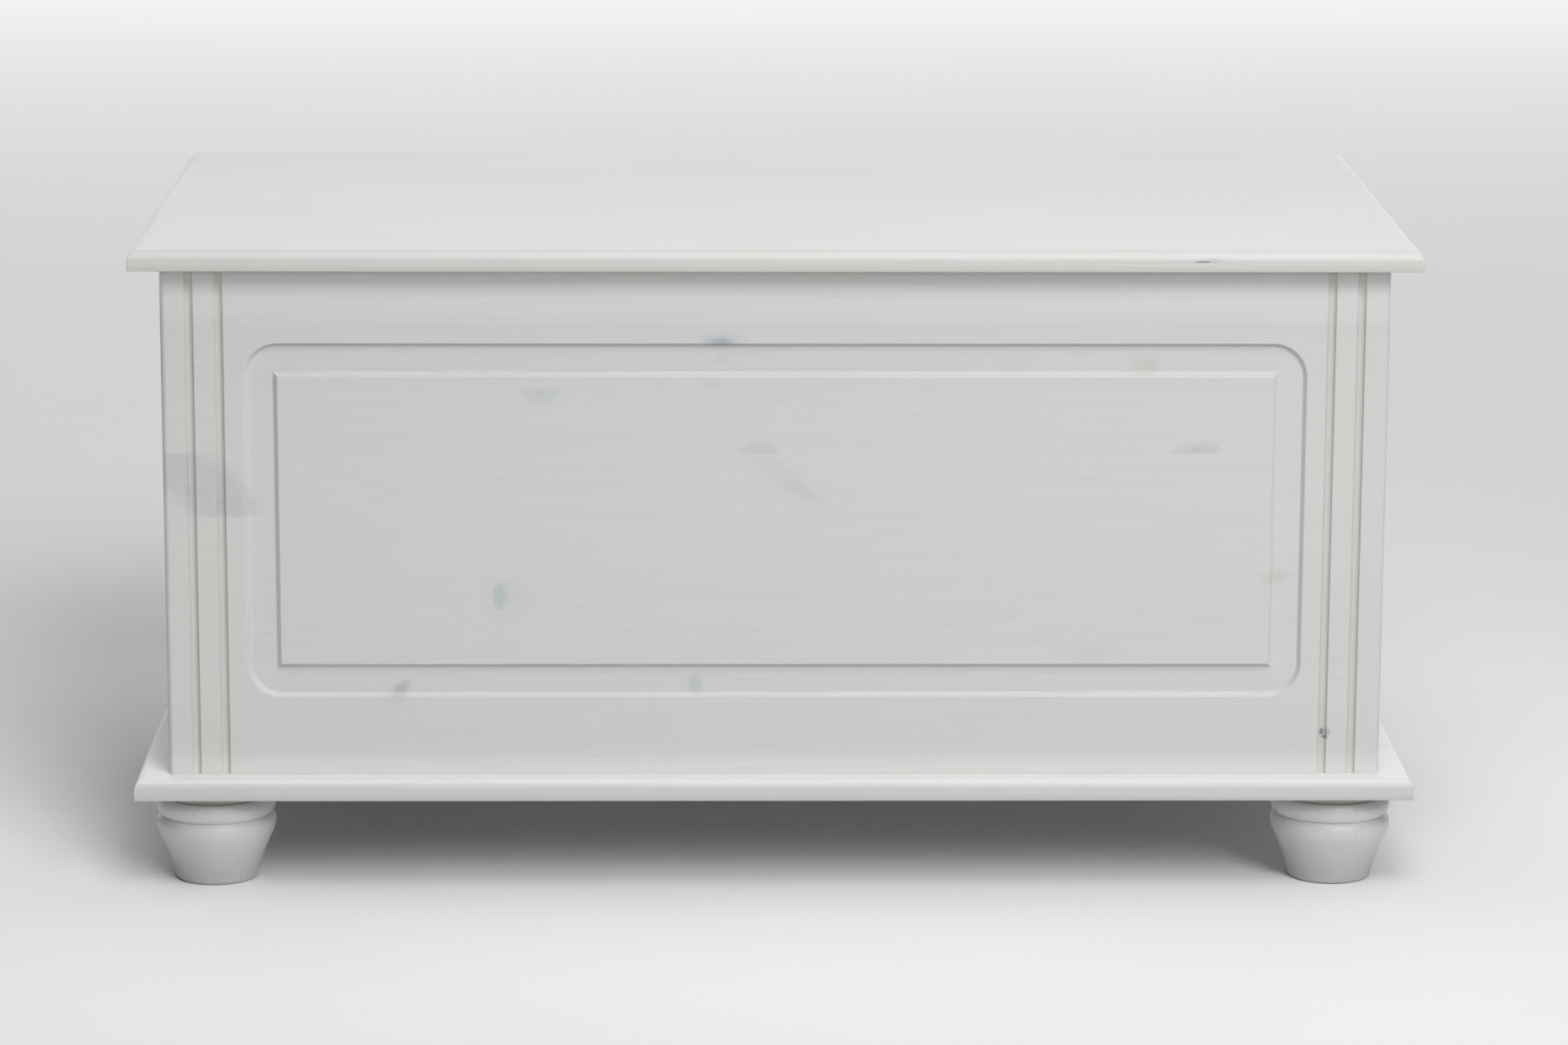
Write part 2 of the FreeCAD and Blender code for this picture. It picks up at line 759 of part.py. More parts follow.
def front_left_post(seats):
    """Square, with a bevel on the edge that faces the middle of the box."""
    blank = new_body("front_left_post_blank")
    plan = sketch_on(blank, "XY_Plane", "post_plan")
    bevel = "post_side - post_chamfer"
    side = "post_side"
    outline(plan, (("0", "0"), (side, "0"), (side, bevel), (bevel, side), ("0", side)))
    pad(blank, plan, "body_height - post_top_clearance")
    place(blank, "-inner_width / 2", "-inner_front", "base_top")
    return cut_by("front_left_post", blank, seats)


def left_lid_batten(seats):
    """A flat batten with bevelled lower edges."""
    blank = new_body("left_lid_batten_blank")
    section = sketch_on(blank, "XZ_Plane", "batten_section")
    bevel = "batten_chamfer"
    corners = (
        (bevel, "0"),
        ("batten_width - batten_chamfer", "0"),
        ("batten_width", bevel),
        ("batten_width", "batten_thickness"),
        ("0", "batten_thickness"),
        ("0", bevel),
    )
    outline(section, corners)
    pad(blank, section, "batten_length", True)
    x = "-batten_spacing / 2 - batten_width / 2"
    place(blank, x, "inner_middle - batten_length / 2", "lid_bottom - batten_thickness")
    return cut_by("left_lid_batten", blank, seats)


# Feet
def front_left_foot(seats):
    """A turned foot: a toe, a hollow taper, a bulge, a bead and a plain neck."""
    blank = new_body("front_left_foot_blank")
    section = sketch_on(blank, "XZ_Plane", "foot_section")
    corners = (
        ("0", "0"),
        ("foot_toe_radius - foot_toe_round", "0"),
        ("foot_toe_radius", "foot_toe_round"),
        ("foot_waist_radius", "foot_waist_height"),
        ("foot_bulge_end_radius", "foot_notch_height"),
        ("foot_bead_end_radius", "foot_notch_height"),
        ("foot_bead_end_radius", "foot_shoulder_height"),
        ("foot_neck_radius", "foot_shoulder_height"),
        ("foot_neck_radius", "foot_height"),
        ("0", "foot_height"),
    )
    arcs = {
        1: ("foot_toe_round", 1),
        2: ("foot_waist_hollow_radius", -1),
        3: ("foot_bulge_round", 1),
        5: ("foot_bead_round", 1),
    }
    outline(section, corners, arcs)
    revolve(blank, section, "V_Axis")
    place(blank, "-foot_centre_x", "-foot_centre_y", "0")
    return cut_by("front_left_foot", blank, seats)


# Hinges
def hinge_leaf(name, first_knuckle, knuckles, below, seats):
    """A leaf with its own share of the knuckles.

    The piece is drawn from its left end, from its inner long edge and from the height of the hinge axis.
    below tells whether the plate lies under the axis, as it does on the box, or over it, as on the lid.
    """
    blank = new_body(name + "_blank")
    level = "-lid_gap / 2" if below else "lid_gap / 2"
    axis_y = "hinge_leaf_width + hinge_axis_offset"
    start = str(first_knuckle) + " * knuckle_pitch + knuckle_side_gap / 2"

    plate = sketch_on(blank, "XY_Plane", name + "_plate", level)
    rectangle(plate, "0", "0", "hinge_length", "hinge_leaf_width")
    pad(blank, plate, "hinge_leaf_thickness", below)

    tab = sketch_on(blank, "XY_Plane", name + "_tab", level)
    rectangle(tab, start, "hinge_leaf_width", "knuckle_width", "hinge_axis_offset")
    tab_pad = pad(blank, tab, "hinge_leaf_thickness", below)

    roll = sketch_on(blank, "YZ_Plane", name + "_knuckle", start)
    circle(roll, axis_y, "0", "knuckle_radius")
    roll_pad = pad(blank, roll, "knuckle_width")

    row = blank.newObject("PartDesign::LinearPattern", name + "_knuckles")
    row.Originals = [tab_pad, roll_pad]
    row.Direction = (tab, ["H_Axis"])
    row.Occurrences = knuckles
    bind(row, "Length", str(2 * (knuckles - 1)) + " * knuckle_pitch")
    blank.Tip = row
    doc.recompute()

    bore = sketch_on(blank, "YZ_Plane", name + "_bore")
    circle(bore, axis_y, "0", "hinge_pin_radius + hinge_pin_clearance")
    pocket(blank, bore, None, True)

    place(blank, "hinge_left", "body_back - hinge_leaf_width", "hinge_axis_z")
    return cut_by(name, blank, seats)


def left_hinge_pin():
    """A plain pin with a low domed head at each end."""
    body = new_body("left_hinge_pin")
    section = sketch_on(body, "XY_Plane", "hinge_pin_section")
    sag = "(hinge_pin_dome_radius - sqrt(hinge_pin_dome_radius ^ 2 - hinge_pin_radius ^ 2))"
    corners = (
        ("0", "0"),
        (sag, "hinge_pin_radius"),
        (sag + " + hinge_length", "hinge_pin_radius"),
        ("2 * " + sag + " + hinge_length", "0"),
    )
    outline(section, corners, {0: ("hinge_pin_dome_radius", -1), 2: ("hinge_pin_dome_radius", -1)})
    revolve(body, section, "H_Axis")
    place(body, "hinge_left - " + sag, "hinge_axis_y", "hinge_axis_z")
    return body


# Lid stays
def left_stay_arm():
    """A flat arm that hangs from the lid; its slot runs on the guide pin of the side panel."""
    body = new_body("left_stay_arm")
    face = sketch_on(body, "YZ_Plane", "stay_arm_face")
    tail = "stay_slot_end + stay_slot_end_margin - stay_arm_half_width"
    slot(face, "0", "0", tail, "stay_arm_half_width")
    circle(face, "0", "0", "rivet_radius + rivet_clearance")
    slot(face, "0", "stay_slot_start", "stay_slot_end", "(stay_pin_radius + stay_slot_play)")
    pad(body, face, "stay_arm_thickness")
    body.Placement.Rotation = FreeCAD.Rotation(FreeCAD.Vector(1, 0, 0), value("stay_arm_angle"))
    bind(body, ".Placement.Rotation.Angle", "stay_arm_angle")
    place(body, "stay_arm_start", "stay_pivot_y", "stay_pivot_z")
    return body


def left_stay_bracket(seats):
    """An angle: its flange lies against the lid and its ear carries the rivet."""
    blank = new_body("left_stay_bracket_blank")
    ear = sketch_on(blank, "YZ_Plane", "bracket_ear")
    half, nose = "stay_bracket_width / 2", "stay_bracket_nose_radius"
    drop = "stay_drop + lid_gap / 2"
    corners = (
        (half + " - " + nose, nose),
        (half + " + " + nose, nose),
        ("stay_bracket_width", nose + " + " + drop),
        ("0", nose + " + " + drop),
    )
    outline(ear, corners, half_circles=(0,))
    circle(ear, half, nose, "rivet_radius")
    pad(blank, ear, "stay_bracket_thickness")
    flange = sketch_on(blank, "XY_Plane", "bracket_flange", nose + " + " + drop)
    rectangle(flange, "0", "0", "stay_bracket_flange", "stay_bracket_width")
    pad(blank, flange, "stay_bracket_thickness", True)
    place(
        blank,
        "stay_bracket_start",
        "stay_pivot_y - stay_bracket_width / 2",
        "stay_pivot_z - stay_bracket_nose_radius",
    )
    return cut_by("left_stay_bracket", blank, seats)


def left_stay_rivet():
    """Holds the arm to the bracket, with a head on the far side of each."""
    body = new_body("left_stay_rivet")
    section = sketch_on(body, "XY_Plane", "rivet_section")
    grip = "rivet_head_gap + stay_arm_thickness + stay_side_gap + stay_bracket_thickness"
    first, second = "rivet_head_thickness", "rivet_head_thickness + " + grip
    corners = (
        ("0", "0"),
        ("0", "rivet_head_radius"),
        (first, "rivet_head_radius"),
        (first, "rivet_radius"),
        (second, "rivet_radius"),
        (second, "rivet_head_radius"),
        (second + " + rivet_head_thickness", "rivet_head_radius"),
        (second + " + rivet_head_thickness", "0"),
    )
    outline(section, corners)
    revolve(body, section, "H_Axis")
    place(body, "stay_arm_start - rivet_head_gap - rivet_head_thickness", "stay_pivot_y", "stay_pivot_z")
    return body


def left_stay_plate(seats):
    """A plate with round ends on the side panel, which holds the guide pin."""
    blank = new_body("left_stay_plate_blank")
    face = sketch_on(blank, "YZ_Plane", "stay_plate_face")
    radius = "stay_plate_height / 2"
    corners = (
        (radius, "0"),
        ("stay_plate_length - " + radius, "0"),
        ("stay_plate_length - " + radius, "stay_plate_height"),
        (radius, "stay_plate_height"),
    )
    outline(face, corners, half_circles=(1, 3))
    pad(blank, face, "stay_plate_thickness")
    place(blank, "stay_wall", "stay_pin_y - stay_plate_length / 2", "stay_pin_z - stay_plate_height / 2")
    return cut_by("left_stay_plate", blank, seats)


def left_stay_guide_pin():
    """Stands in the plate, goes through the arm's slot and keeps the arm on with its head."""
    body = new_body("left_stay_guide_pin")
    section = sketch_on(body, "XY_Plane", "guide_pin_section")
    reach = "stay_plate_thickness + stay_arm_thickness + 2 * stay_side_gap"
    corners = (
        ("0", "0"),
        ("0", "stay_pin_radius"),
        (reach, "stay_pin_radius"),
        (reach, "stay_pin_head_radius"),
        (reach + " + stay_pin_head_thickness", "stay_pin_head_radius"),
        (reach + " + stay_pin_head_thickness", "0"),
    )
    outline(section, corners)
    revolve(body, section, "H_Axis")
    place(body, "stay_wall", "stay_pin_y", "stay_pin_z")
    return body


def build():
    """Makes every piece, in the order in which one is needed for the seats of the next."""
    nodes = {}

    def keep(item):
        nodes[item.Name] = item
        return item

    def keep_pair(left, **options):
        keep(left)
        return keep(mirror(left.Name.replace("left", "right"), left, **options))

    base_fixings = keep(base_screws())
    post_fixings = keep(post_screws())
    dowels = keep(panel_dowels())
    bolts = keep(foot_hanger_bolts())
    keep(foot_thread_inserts())
    batten_fixings = keep(batten_screws())
    body_hinge_fixings = keep(hinge_screws("hinge_body_screws", "body_top", up))
    lid_hinge_fixings = keep(hinge_screws("hinge_lid_screws", "lid_bottom", down))
    plate_fixings = keep(stay_plate_screws())
    bracket_fixings = keep(stay_bracket_screws())

    keep(base_board([base_fixings, insert_seats()]))
    keep(front_panel([base_fixings, post_fixings, dowels]))
    keep(back_panel([base_fixings, post_fixings, dowels, body_hinge_fixings]))
    keep_pair(left_side_panel([base_fixings, post_fixings, dowels, plate_fixings]))
    front_post = front_left_post([post_fixings])
    keep_pair(front_post)
    keep_pair(mirror("rear_left_post", front_post, (0, 1, 0), "inner_middle"))
    front_foot = front_left_foot([bolts])
    keep_pair(front_foot)
    keep_pair(mirror("rear_left_foot", front_foot, (0, 1, 0)))

    keep(lid_board([batten_fixings, lid_hinge_fixings, bracket_fixings]))
    keep_pair(left_lid_batten([batten_fixings]))

    keep_pair(hinge_leaf("left_hinge_body_leaf", 0, 3, True, [body_hinge_fixings]))
    keep_pair(hinge_leaf("left_hinge_lid_leaf", 1, 2, False, [lid_hinge_fixings]))
    keep_pair(left_hinge_pin())

    guide_pin = left_stay_guide_pin()
    keep_pair(guide_pin)
    keep_pair(left_stay_plate([guide_pin, plate_fixings]))
    keep_pair(left_stay_bracket([bracket_fixings]))
    keep_pair(left_stay_rivet())
    keep_pair(left_stay_arm())
    return nodes


def check_and_export(nodes):
    """Stops at any failed object or bad solid before the first file is written."""
    doc.recompute()
    for item in doc.Objects:
        if "Invalid" in item.State or "Error" in item.State:
            raise RuntimeError(item.Name + " failed: " + str(item.State))
        if item.isDerivedFrom("Sketcher::SketchObject") and item.solve() != 0:
            raise RuntimeError(item.Name + " can't be solved")
    for name, item in nodes.items():
        item.Label = name
        shape = item.Shape
        if shape.isNull() or not shape.isValid() or not shape.Solids:
            raise RuntimeError(name + " has no sound solid")
    for name, item in nodes.items():
        item.Shape.exportStep("parts/" + item.Label + ".step")
        print(name, "solids", len(item.Shape.Solids), "volume", round(item.Shape.Volume / 1000, 2), "cm3")


check_and_export(build())
print("hinge axis at y", round(value("hinge_axis_y"), 3), "z", round(value("hinge_axis_z"), 3))
print("stay pivot at y", round(value("stay_pivot_y"), 3), "z", round(value("stay_pivot_z"), 3))
print("stay pin at y", round(value("stay_pin_y"), 3), "z", round(value("stay_pin_z"), 3))
print("base board", value("base_width"), "x", value("base_depth"))
print("lid top at", value("lid_bottom + lid_thickness"))
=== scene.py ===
import json
import math
import random

import bmesh
import bpy
from mathutils import Matrix, Vector


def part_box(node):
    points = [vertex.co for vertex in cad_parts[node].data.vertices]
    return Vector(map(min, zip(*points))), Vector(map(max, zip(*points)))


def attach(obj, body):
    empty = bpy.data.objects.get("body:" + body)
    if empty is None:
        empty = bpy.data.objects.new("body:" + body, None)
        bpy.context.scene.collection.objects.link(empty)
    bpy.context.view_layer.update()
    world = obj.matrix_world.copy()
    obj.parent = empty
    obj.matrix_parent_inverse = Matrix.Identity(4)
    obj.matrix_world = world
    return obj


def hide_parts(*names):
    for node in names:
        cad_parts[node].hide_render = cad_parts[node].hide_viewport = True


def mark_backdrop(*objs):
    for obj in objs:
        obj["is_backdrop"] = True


# A white-glazed pine blanket chest: boards of glued staves, turned feet, butt hinges and lid stays.
# The front looks along -Y, +X is on the right and +Z is up. Sizes are millimetres, and mm makes them metres.

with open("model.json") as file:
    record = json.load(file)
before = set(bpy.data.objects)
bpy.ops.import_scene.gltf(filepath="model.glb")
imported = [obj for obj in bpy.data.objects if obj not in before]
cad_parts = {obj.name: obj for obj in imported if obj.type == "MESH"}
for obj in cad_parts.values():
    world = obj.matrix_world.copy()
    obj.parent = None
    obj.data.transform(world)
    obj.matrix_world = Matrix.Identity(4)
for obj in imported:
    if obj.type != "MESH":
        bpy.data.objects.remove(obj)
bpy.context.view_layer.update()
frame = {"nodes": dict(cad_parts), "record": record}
cadNodes = frame["nodes"]
bodyOf = {node: body for body, nodes in frame["record"]["behaviour"]["bodies"].items() for node in nodes}
slotOf = {part["node"]: part["material_slot"] for part in frame["record"]["subparts"]}
sides = ("left", "right")
corners = [end + "_" + side for end in ("front", "rear") for side in sides]
mm = 0.001
print("frame loaded,", len(cadNodes), "nodes")


# Mesh helpers, with the distances that count as the same or get welded, and turns between faces
sameReach, weldReach = 0.01 * mm, 0.001 * mm
flatTurn, cornerTurn, rimTurn = math.radians(1), math.radians(20), math.radians(40)
sideways = (1, 0, 0)


def block(low, high):  # a box between two corners
    bm = bmesh.new()
    bmesh.ops.create_cube(bm, size=1)
    bmesh.ops.scale(bm, vec=Vector(high) - Vector(low), verts=bm.verts)
    bmesh.ops.translate(bm, vec=(Vector(low) + Vector(high)) / 2, verts=bm.verts)
    return bm


def bevel(bm, parts, offset, segments, affect="EDGES"):
    return bmesh.ops.bevel(
        bm, geom=parts, offset=offset, offset_type="OFFSET", affect=affect,
        segments=segments, profile=0.5, material=-1, clamp_overlap=True,
    )["faces"]


def middle(edge):
    return (edge.verts[0].co + edge.verts[1].co) / 2


def near(first, second):
    return abs(first - second) < sameReach


def marked(bm, faces, layer="edgeWear"):  # marks faces for the finish
    layers = bm.faces.layers.float
    mark = layers.get(layer) or layers.new(layer)
    for face in faces:
        if face.is_valid:
            face[mark] = 1
    return bm


def soften(bm, offset):  # breaks every outward corner and marks it for the wear in the finish
    edges = [
        edge for edge in bm.edges
        if edge.is_manifold and edge.is_convex and edge.calc_face_angle() > cornerTurn
    ]
    return marked(bm, bevel(bm, edges, offset, 3))


def bevelled(bm, offset):  # breaks the rims of a metal piece
    edges = [edge for edge in bm.edges if edge.calc_face_angle(0) > rimTurn]
    bevel(bm, edges, offset, 2)
    return bm


def turned(profile, steps):  # (radius, height) pairs turned about Z
    bm = bmesh.new()
    verts = [bm.verts.new((radius, 0, height)) for radius, height in profile]
    edges = [bm.edges.new(pair) for pair in zip(verts, verts[1:])]
    bmesh.ops.spin(
        bm, geom=verts + edges, cent=(0, 0, 0), axis=(0, 0, 1), dvec=(0, 0, 0),
        angle=math.tau, steps=steps, use_merge=True, use_duplicate=False,
    )
    bmesh.ops.remove_doubles(bm, verts=bm.verts, dist=weldReach)
    bmesh.ops.recalc_face_normals(bm, faces=bm.faces)
    return bm


def arc(centre, radius, start, end, count):  # points on an arc, angles in degrees
    angles = [math.radians(start + (end - start) * step / count) for step in range(count + 1)]
    return [(centre[0] + radius * math.cos(a), centre[1] + radius * math.sin(a)) for a in angles]


def moved(bm, matrix):
    bmesh.ops.transform(bm, matrix=matrix, verts=bm.verts)
    if matrix.determinant() < 0:
        bmesh.ops.recalc_face_normals(bm, faces=bm.faces)
    return bm


def facing(axis):  # turns +Z to an axis
    return Vector((0, 0, 1)).rotation_difference(Vector(axis)).to_matrix().to_4x4()


def placed(bm, point, axis):
    return moved(bm, Matrix.Translation(point) @ facing(axis))


def mirrored(bm):
    return moved(bm, Matrix.Scale(-1, 4, sideways))


def rod(centre, axis, radius, length, segments=32):  # a round bar, from its middle
    bm = bmesh.new()
    bmesh.ops.create_cone(
        bm, cap_ends=True, segments=segments, radius1=radius, radius2=radius, depth=length,
    )
    return placed(bm, centre, axis)


def meshOf(bm, name):
    mesh = bpy.data.meshes.new(name)
    bm.to_mesh(mesh)
    bm.free()
    return mesh


def newObject(name, data):
    made = bpy.data.objects.new(name, data)
    bpy.context.scene.collection.objects.link(made)
    return made


def joined(parts):
    whole = bmesh.new()
    for part in parts:
        mesh = meshOf(part, "part")
        whole.from_mesh(mesh)
        bpy.data.meshes.remove(mesh)
    return whole


def carve(bm, tools, operation="DIFFERENCE"):  # cuts the tools out of a shape, or adds them
    solids = [newObject("blank", meshOf(source, "blank")) for source in [bm, *tools]]
    for tool in solids[1:]:
        step = solids[0].modifiers.new("carve", "BOOLEAN")
        step.operation = operation
        step.solver = "EXACT"
        step.object = tool
    carved = bmesh.new()
    carved.from_object(solids[0], bpy.context.evaluated_depsgraph_get())
    for solid in solids:
        mesh = solid.data
        bpy.data.objects.remove(solid)
        bpy.data.meshes.remove(mesh)
    bmesh.ops.remove_doubles(carved, verts=carved.verts, dist=weldReach)
    bmesh.ops.dissolve_limit(carved, angle_limit=flatTurn, verts=carved.verts, edges=carved.edges)
    return carved


def wrapped(parts):  # the tight skin round a few shapes
    bm = joined(parts)
    bmesh.ops.delete(bm, geom=bm.edges[:] + bm.faces[:], context="EDGES_FACES")
    bmesh.ops.convex_hull(bm, input=bm.verts[:])
    loose = [vert for vert in bm.verts if not vert.link_faces]
    bmesh.ops.delete(bm, geom=loose, context="VERTS")
    bmesh.ops.dissolve_limit(bm, angle_limit=flatTurn, verts=bm.verts, edges=bm.edges)
    bmesh.ops.recalc_face_normals(bm, faces=bm.faces)
    return bm


def addPiece(node, bm, finish=None, name="", sharp=25):  # takes a CAD node's place, body and slot
    first, *rest = node.split("_")
    name = name or first + "".join(word.capitalize() for word in rest)
    mesh = meshOf(bm, name)
    mesh.materials.append(finish or finishOf[slotOf[node]])
    mesh.shade_smooth()
    mesh.set_sharp_from_angle(angle=math.radians(sharp))
    piece = newObject(name, mesh)
    evened = piece.modifiers.new("evened", "WEIGHTED_NORMAL")
    evened.keep_sharp = True
    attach(piece, bodyOf[node])
    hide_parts(node)


def addPair(part, make):  # make gives the left one
    for side in sides:
        addPiece(side + part, make() if side == "left" else mirrored(make()))


# Material helpers
def feed(tree, made, inputs):  # links or sets the inputs of a node
    for key, value in dict(inputs).items():
        if isinstance(value, bpy.types.NodeSocket):
            tree.links.new(value, made.inputs[key])
        else:
            made.inputs[key].default_value = value
    return made


def add(tree, kind, inputs=(), **settings):
    made = tree.nodes.new("ShaderNode" + kind)
    for key, value in settings.items():
        setattr(made, key, value)
    return feed(tree, made, inputs)


def newMaterial(name):  # the material, its tree, its shader and a place on the piece
    material = bpy.data.materials.new(name)
    material.use_nodes = True
    tree = material.node_tree
    return material, tree, tree.nodes["Principled BSDF"], add(tree, "TexCoord").outputs["Object"]


def calc(tree, operation, *values):
    return add(tree, "Math", dict(enumerate(values)), operation=operation).outputs[0]


def minus(tree, first, second):
    return calc(tree, "SUBTRACT", first, second)


def scaled(tree, value, factor, base):
    return calc(tree, "MULTIPLY_ADD", value, factor, base)


def times(tree, product, *others):
    for other in others:
        product = calc(tree, "MULTIPLY", product, other)
    return product


def vector(tree, *values):
    return add(tree, "CombineXYZ", dict(enumerate(values))).outputs[0]


def vectorCalc(tree, operation, *values):
    made = add(tree, "VectorMath", dict(enumerate(values)), operation=operation)
    return made.outputs["Value" if operation == "LENGTH" else "Vector"]


def remap(tree, value, low, high, newLow=0.0, newHigh=1.0):
    sockets = {"Value": value, "From Min": low, "From Max": high, "To Min": newLow, "To Max": newHigh}
    return add(tree, "MapRange", sockets, interpolation_type="SMOOTHSTEP").outputs[0]


def noise(tree, place, scales, detail=2.0, rough=0.5, offset=0.0, span=None):
    stretched = vectorCalc(tree, "MULTIPLY_ADD", place, scales, (offset,) * 3)
    sockets = {"Vector": stretched, "Scale": 1.0, "Detail": detail, "Roughness": rough}
    made = add(tree, "TexNoise", sockets).outputs[0]
    return remap(tree, made, *span) if span else made


def luck(tree, number):
    return add(tree, "TexWhiteNoise", {"W": number}, noise_dimensions="1D").outputs


def blend(tree, share, first, second, kind="MIX"):
    first, second = (
        value if isinstance(value, bpy.types.NodeSocket) else (*value, 1) for value in (first, second)
    )
    made = add(tree, "Mix", {0: share, 6: first, 7: second}, data_type="RGBA", blend_type=kind)
    return made.outputs[2]


def bumped(tree, height, distance):
    return add(tree, "Bump", {"Height": height, "Distance": distance, "Strength": 1.0}).outputs[0]


# How fast a knot's push on the rings dies away, and the home of a knot that no glue line cuts
knotLook = {"heartRange": (0.1, 0.75), "swell": -0.35, "anyStave": -99}


def knotGroup():  # one knot: its stain, its dark heart and how far it pushes the rings aside
    group = bpy.data.node_groups.new("pineKnot", "ShaderNodeTree")
    for name in ("Place", "Centre", "Size", "Turn", "Soft", "Stave", "Home"):
        kind = "NodeSocketVector" if name in ("Place", "Centre", "Size") else "NodeSocketFloat"
        group.interface.new_socket(name=name, in_out="INPUT", socket_type=kind)
    for name in ("Stain", "Heart", "Push"):
        group.interface.new_socket(name=name, in_out="OUTPUT", socket_type="NodeSocketFloat")
    given = group.nodes.new("NodeGroupInput").outputs
    offset = vectorCalc(group, "SUBTRACT", given["Place"], given["Centre"])
    turn = add(group, "VectorRotate", {"Vector": offset, "Angle": given["Turn"]}, rotation_type="Z_AXIS")
    reach = vectorCalc(group, "LENGTH", vectorCalc(group, "DIVIDE", turn.outputs[0], given["Size"]))
    inner = minus(group, 1.0, given["Soft"])
    outer = calc(group, "ADD", 1.0, given["Soft"])
    own = calc(group, "COMPARE", given["Stave"], given["Home"], 0.5)
    uncut = calc(group, "COMPARE", given["Home"], knotLook["anyStave"], 0.5)
    held = calc(group, "MAXIMUM", own, uncut)
    swell = calc(group, "EXPONENT", times(group, calc(group, "POWER", reach, 2.0), knotLook["swell"]))
    height = add(group, "SeparateXYZ", {0: given["Size"]}).outputs[1]
    feed(group, group.nodes.new("NodeGroupOutput"), {
        "Stain": times(group, remap(group, reach, inner, outer, 1.0, 0.0), held),
        "Heart": times(group, remap(group, reach, *knotLook["heartRange"], 1.0, 0.0), held),
        "Push": times(group, swell, height, held),
    })
    return group


pineKnot = knotGroup()

# What all the pine shares. A noise is its scales on three axes, then detail, roughness, offset and range
grain = {
    "drift": ((2.4, 9, 9), 2.0), "uneven": ((130, 1, 1), 1.0), "fibre": ((14, 1100, 1100), 3.0, 0.6),
    "streak": ((5, 260, 260), 2.0, 0.5, 3.1), "canal": ((70, 1500, 1500), 1.0, 0.5, 7.7, (0.68, 0.8)),
    "cloud": ((3.2, 9, 9), 3.0, 0.55, 1.3), "thin": ((6, 22, 22), 3.0, 0.6, 5.2, (0.45, 0.7)),
    "mottle": ((90, 170, 170), 3.0, 0.6, 2.2, (0.25, 0.65, 0.8, 1.0)),
    "rubbed": ((25, 60, 60), 3.0, 0.6, 4.4, (0.35, 0.6)), "lathe": ((8, 8, 1600), 2.0, 0.7, 6.1),
    "rise": (0.35, 0.86), "fall": (0.93, 1.0, 1.0, 0.0), "upRange": (0.5, 0.95), "downRange": (-0.95, -0.3),
    "raggedScale": 160.0, "ragged": (7, 5), "heartDepth": (60, 12), "heartAside": 70, "staveShift": 3.7,
    "push": 0.6, "unevenRing": 5, "faintRing": 0.4, "thinGrain": 0.8, "glueReach": (0.1, 0.5),
    "fluteReach": (2.8, 4.6), "fluteShare": 0.85, "layerShares": (0.5, 1.5), "cloudGloss": 0.10,
    "fibreGloss": 0.12, "ior": 1.46, "coatRough": 0.35,
}


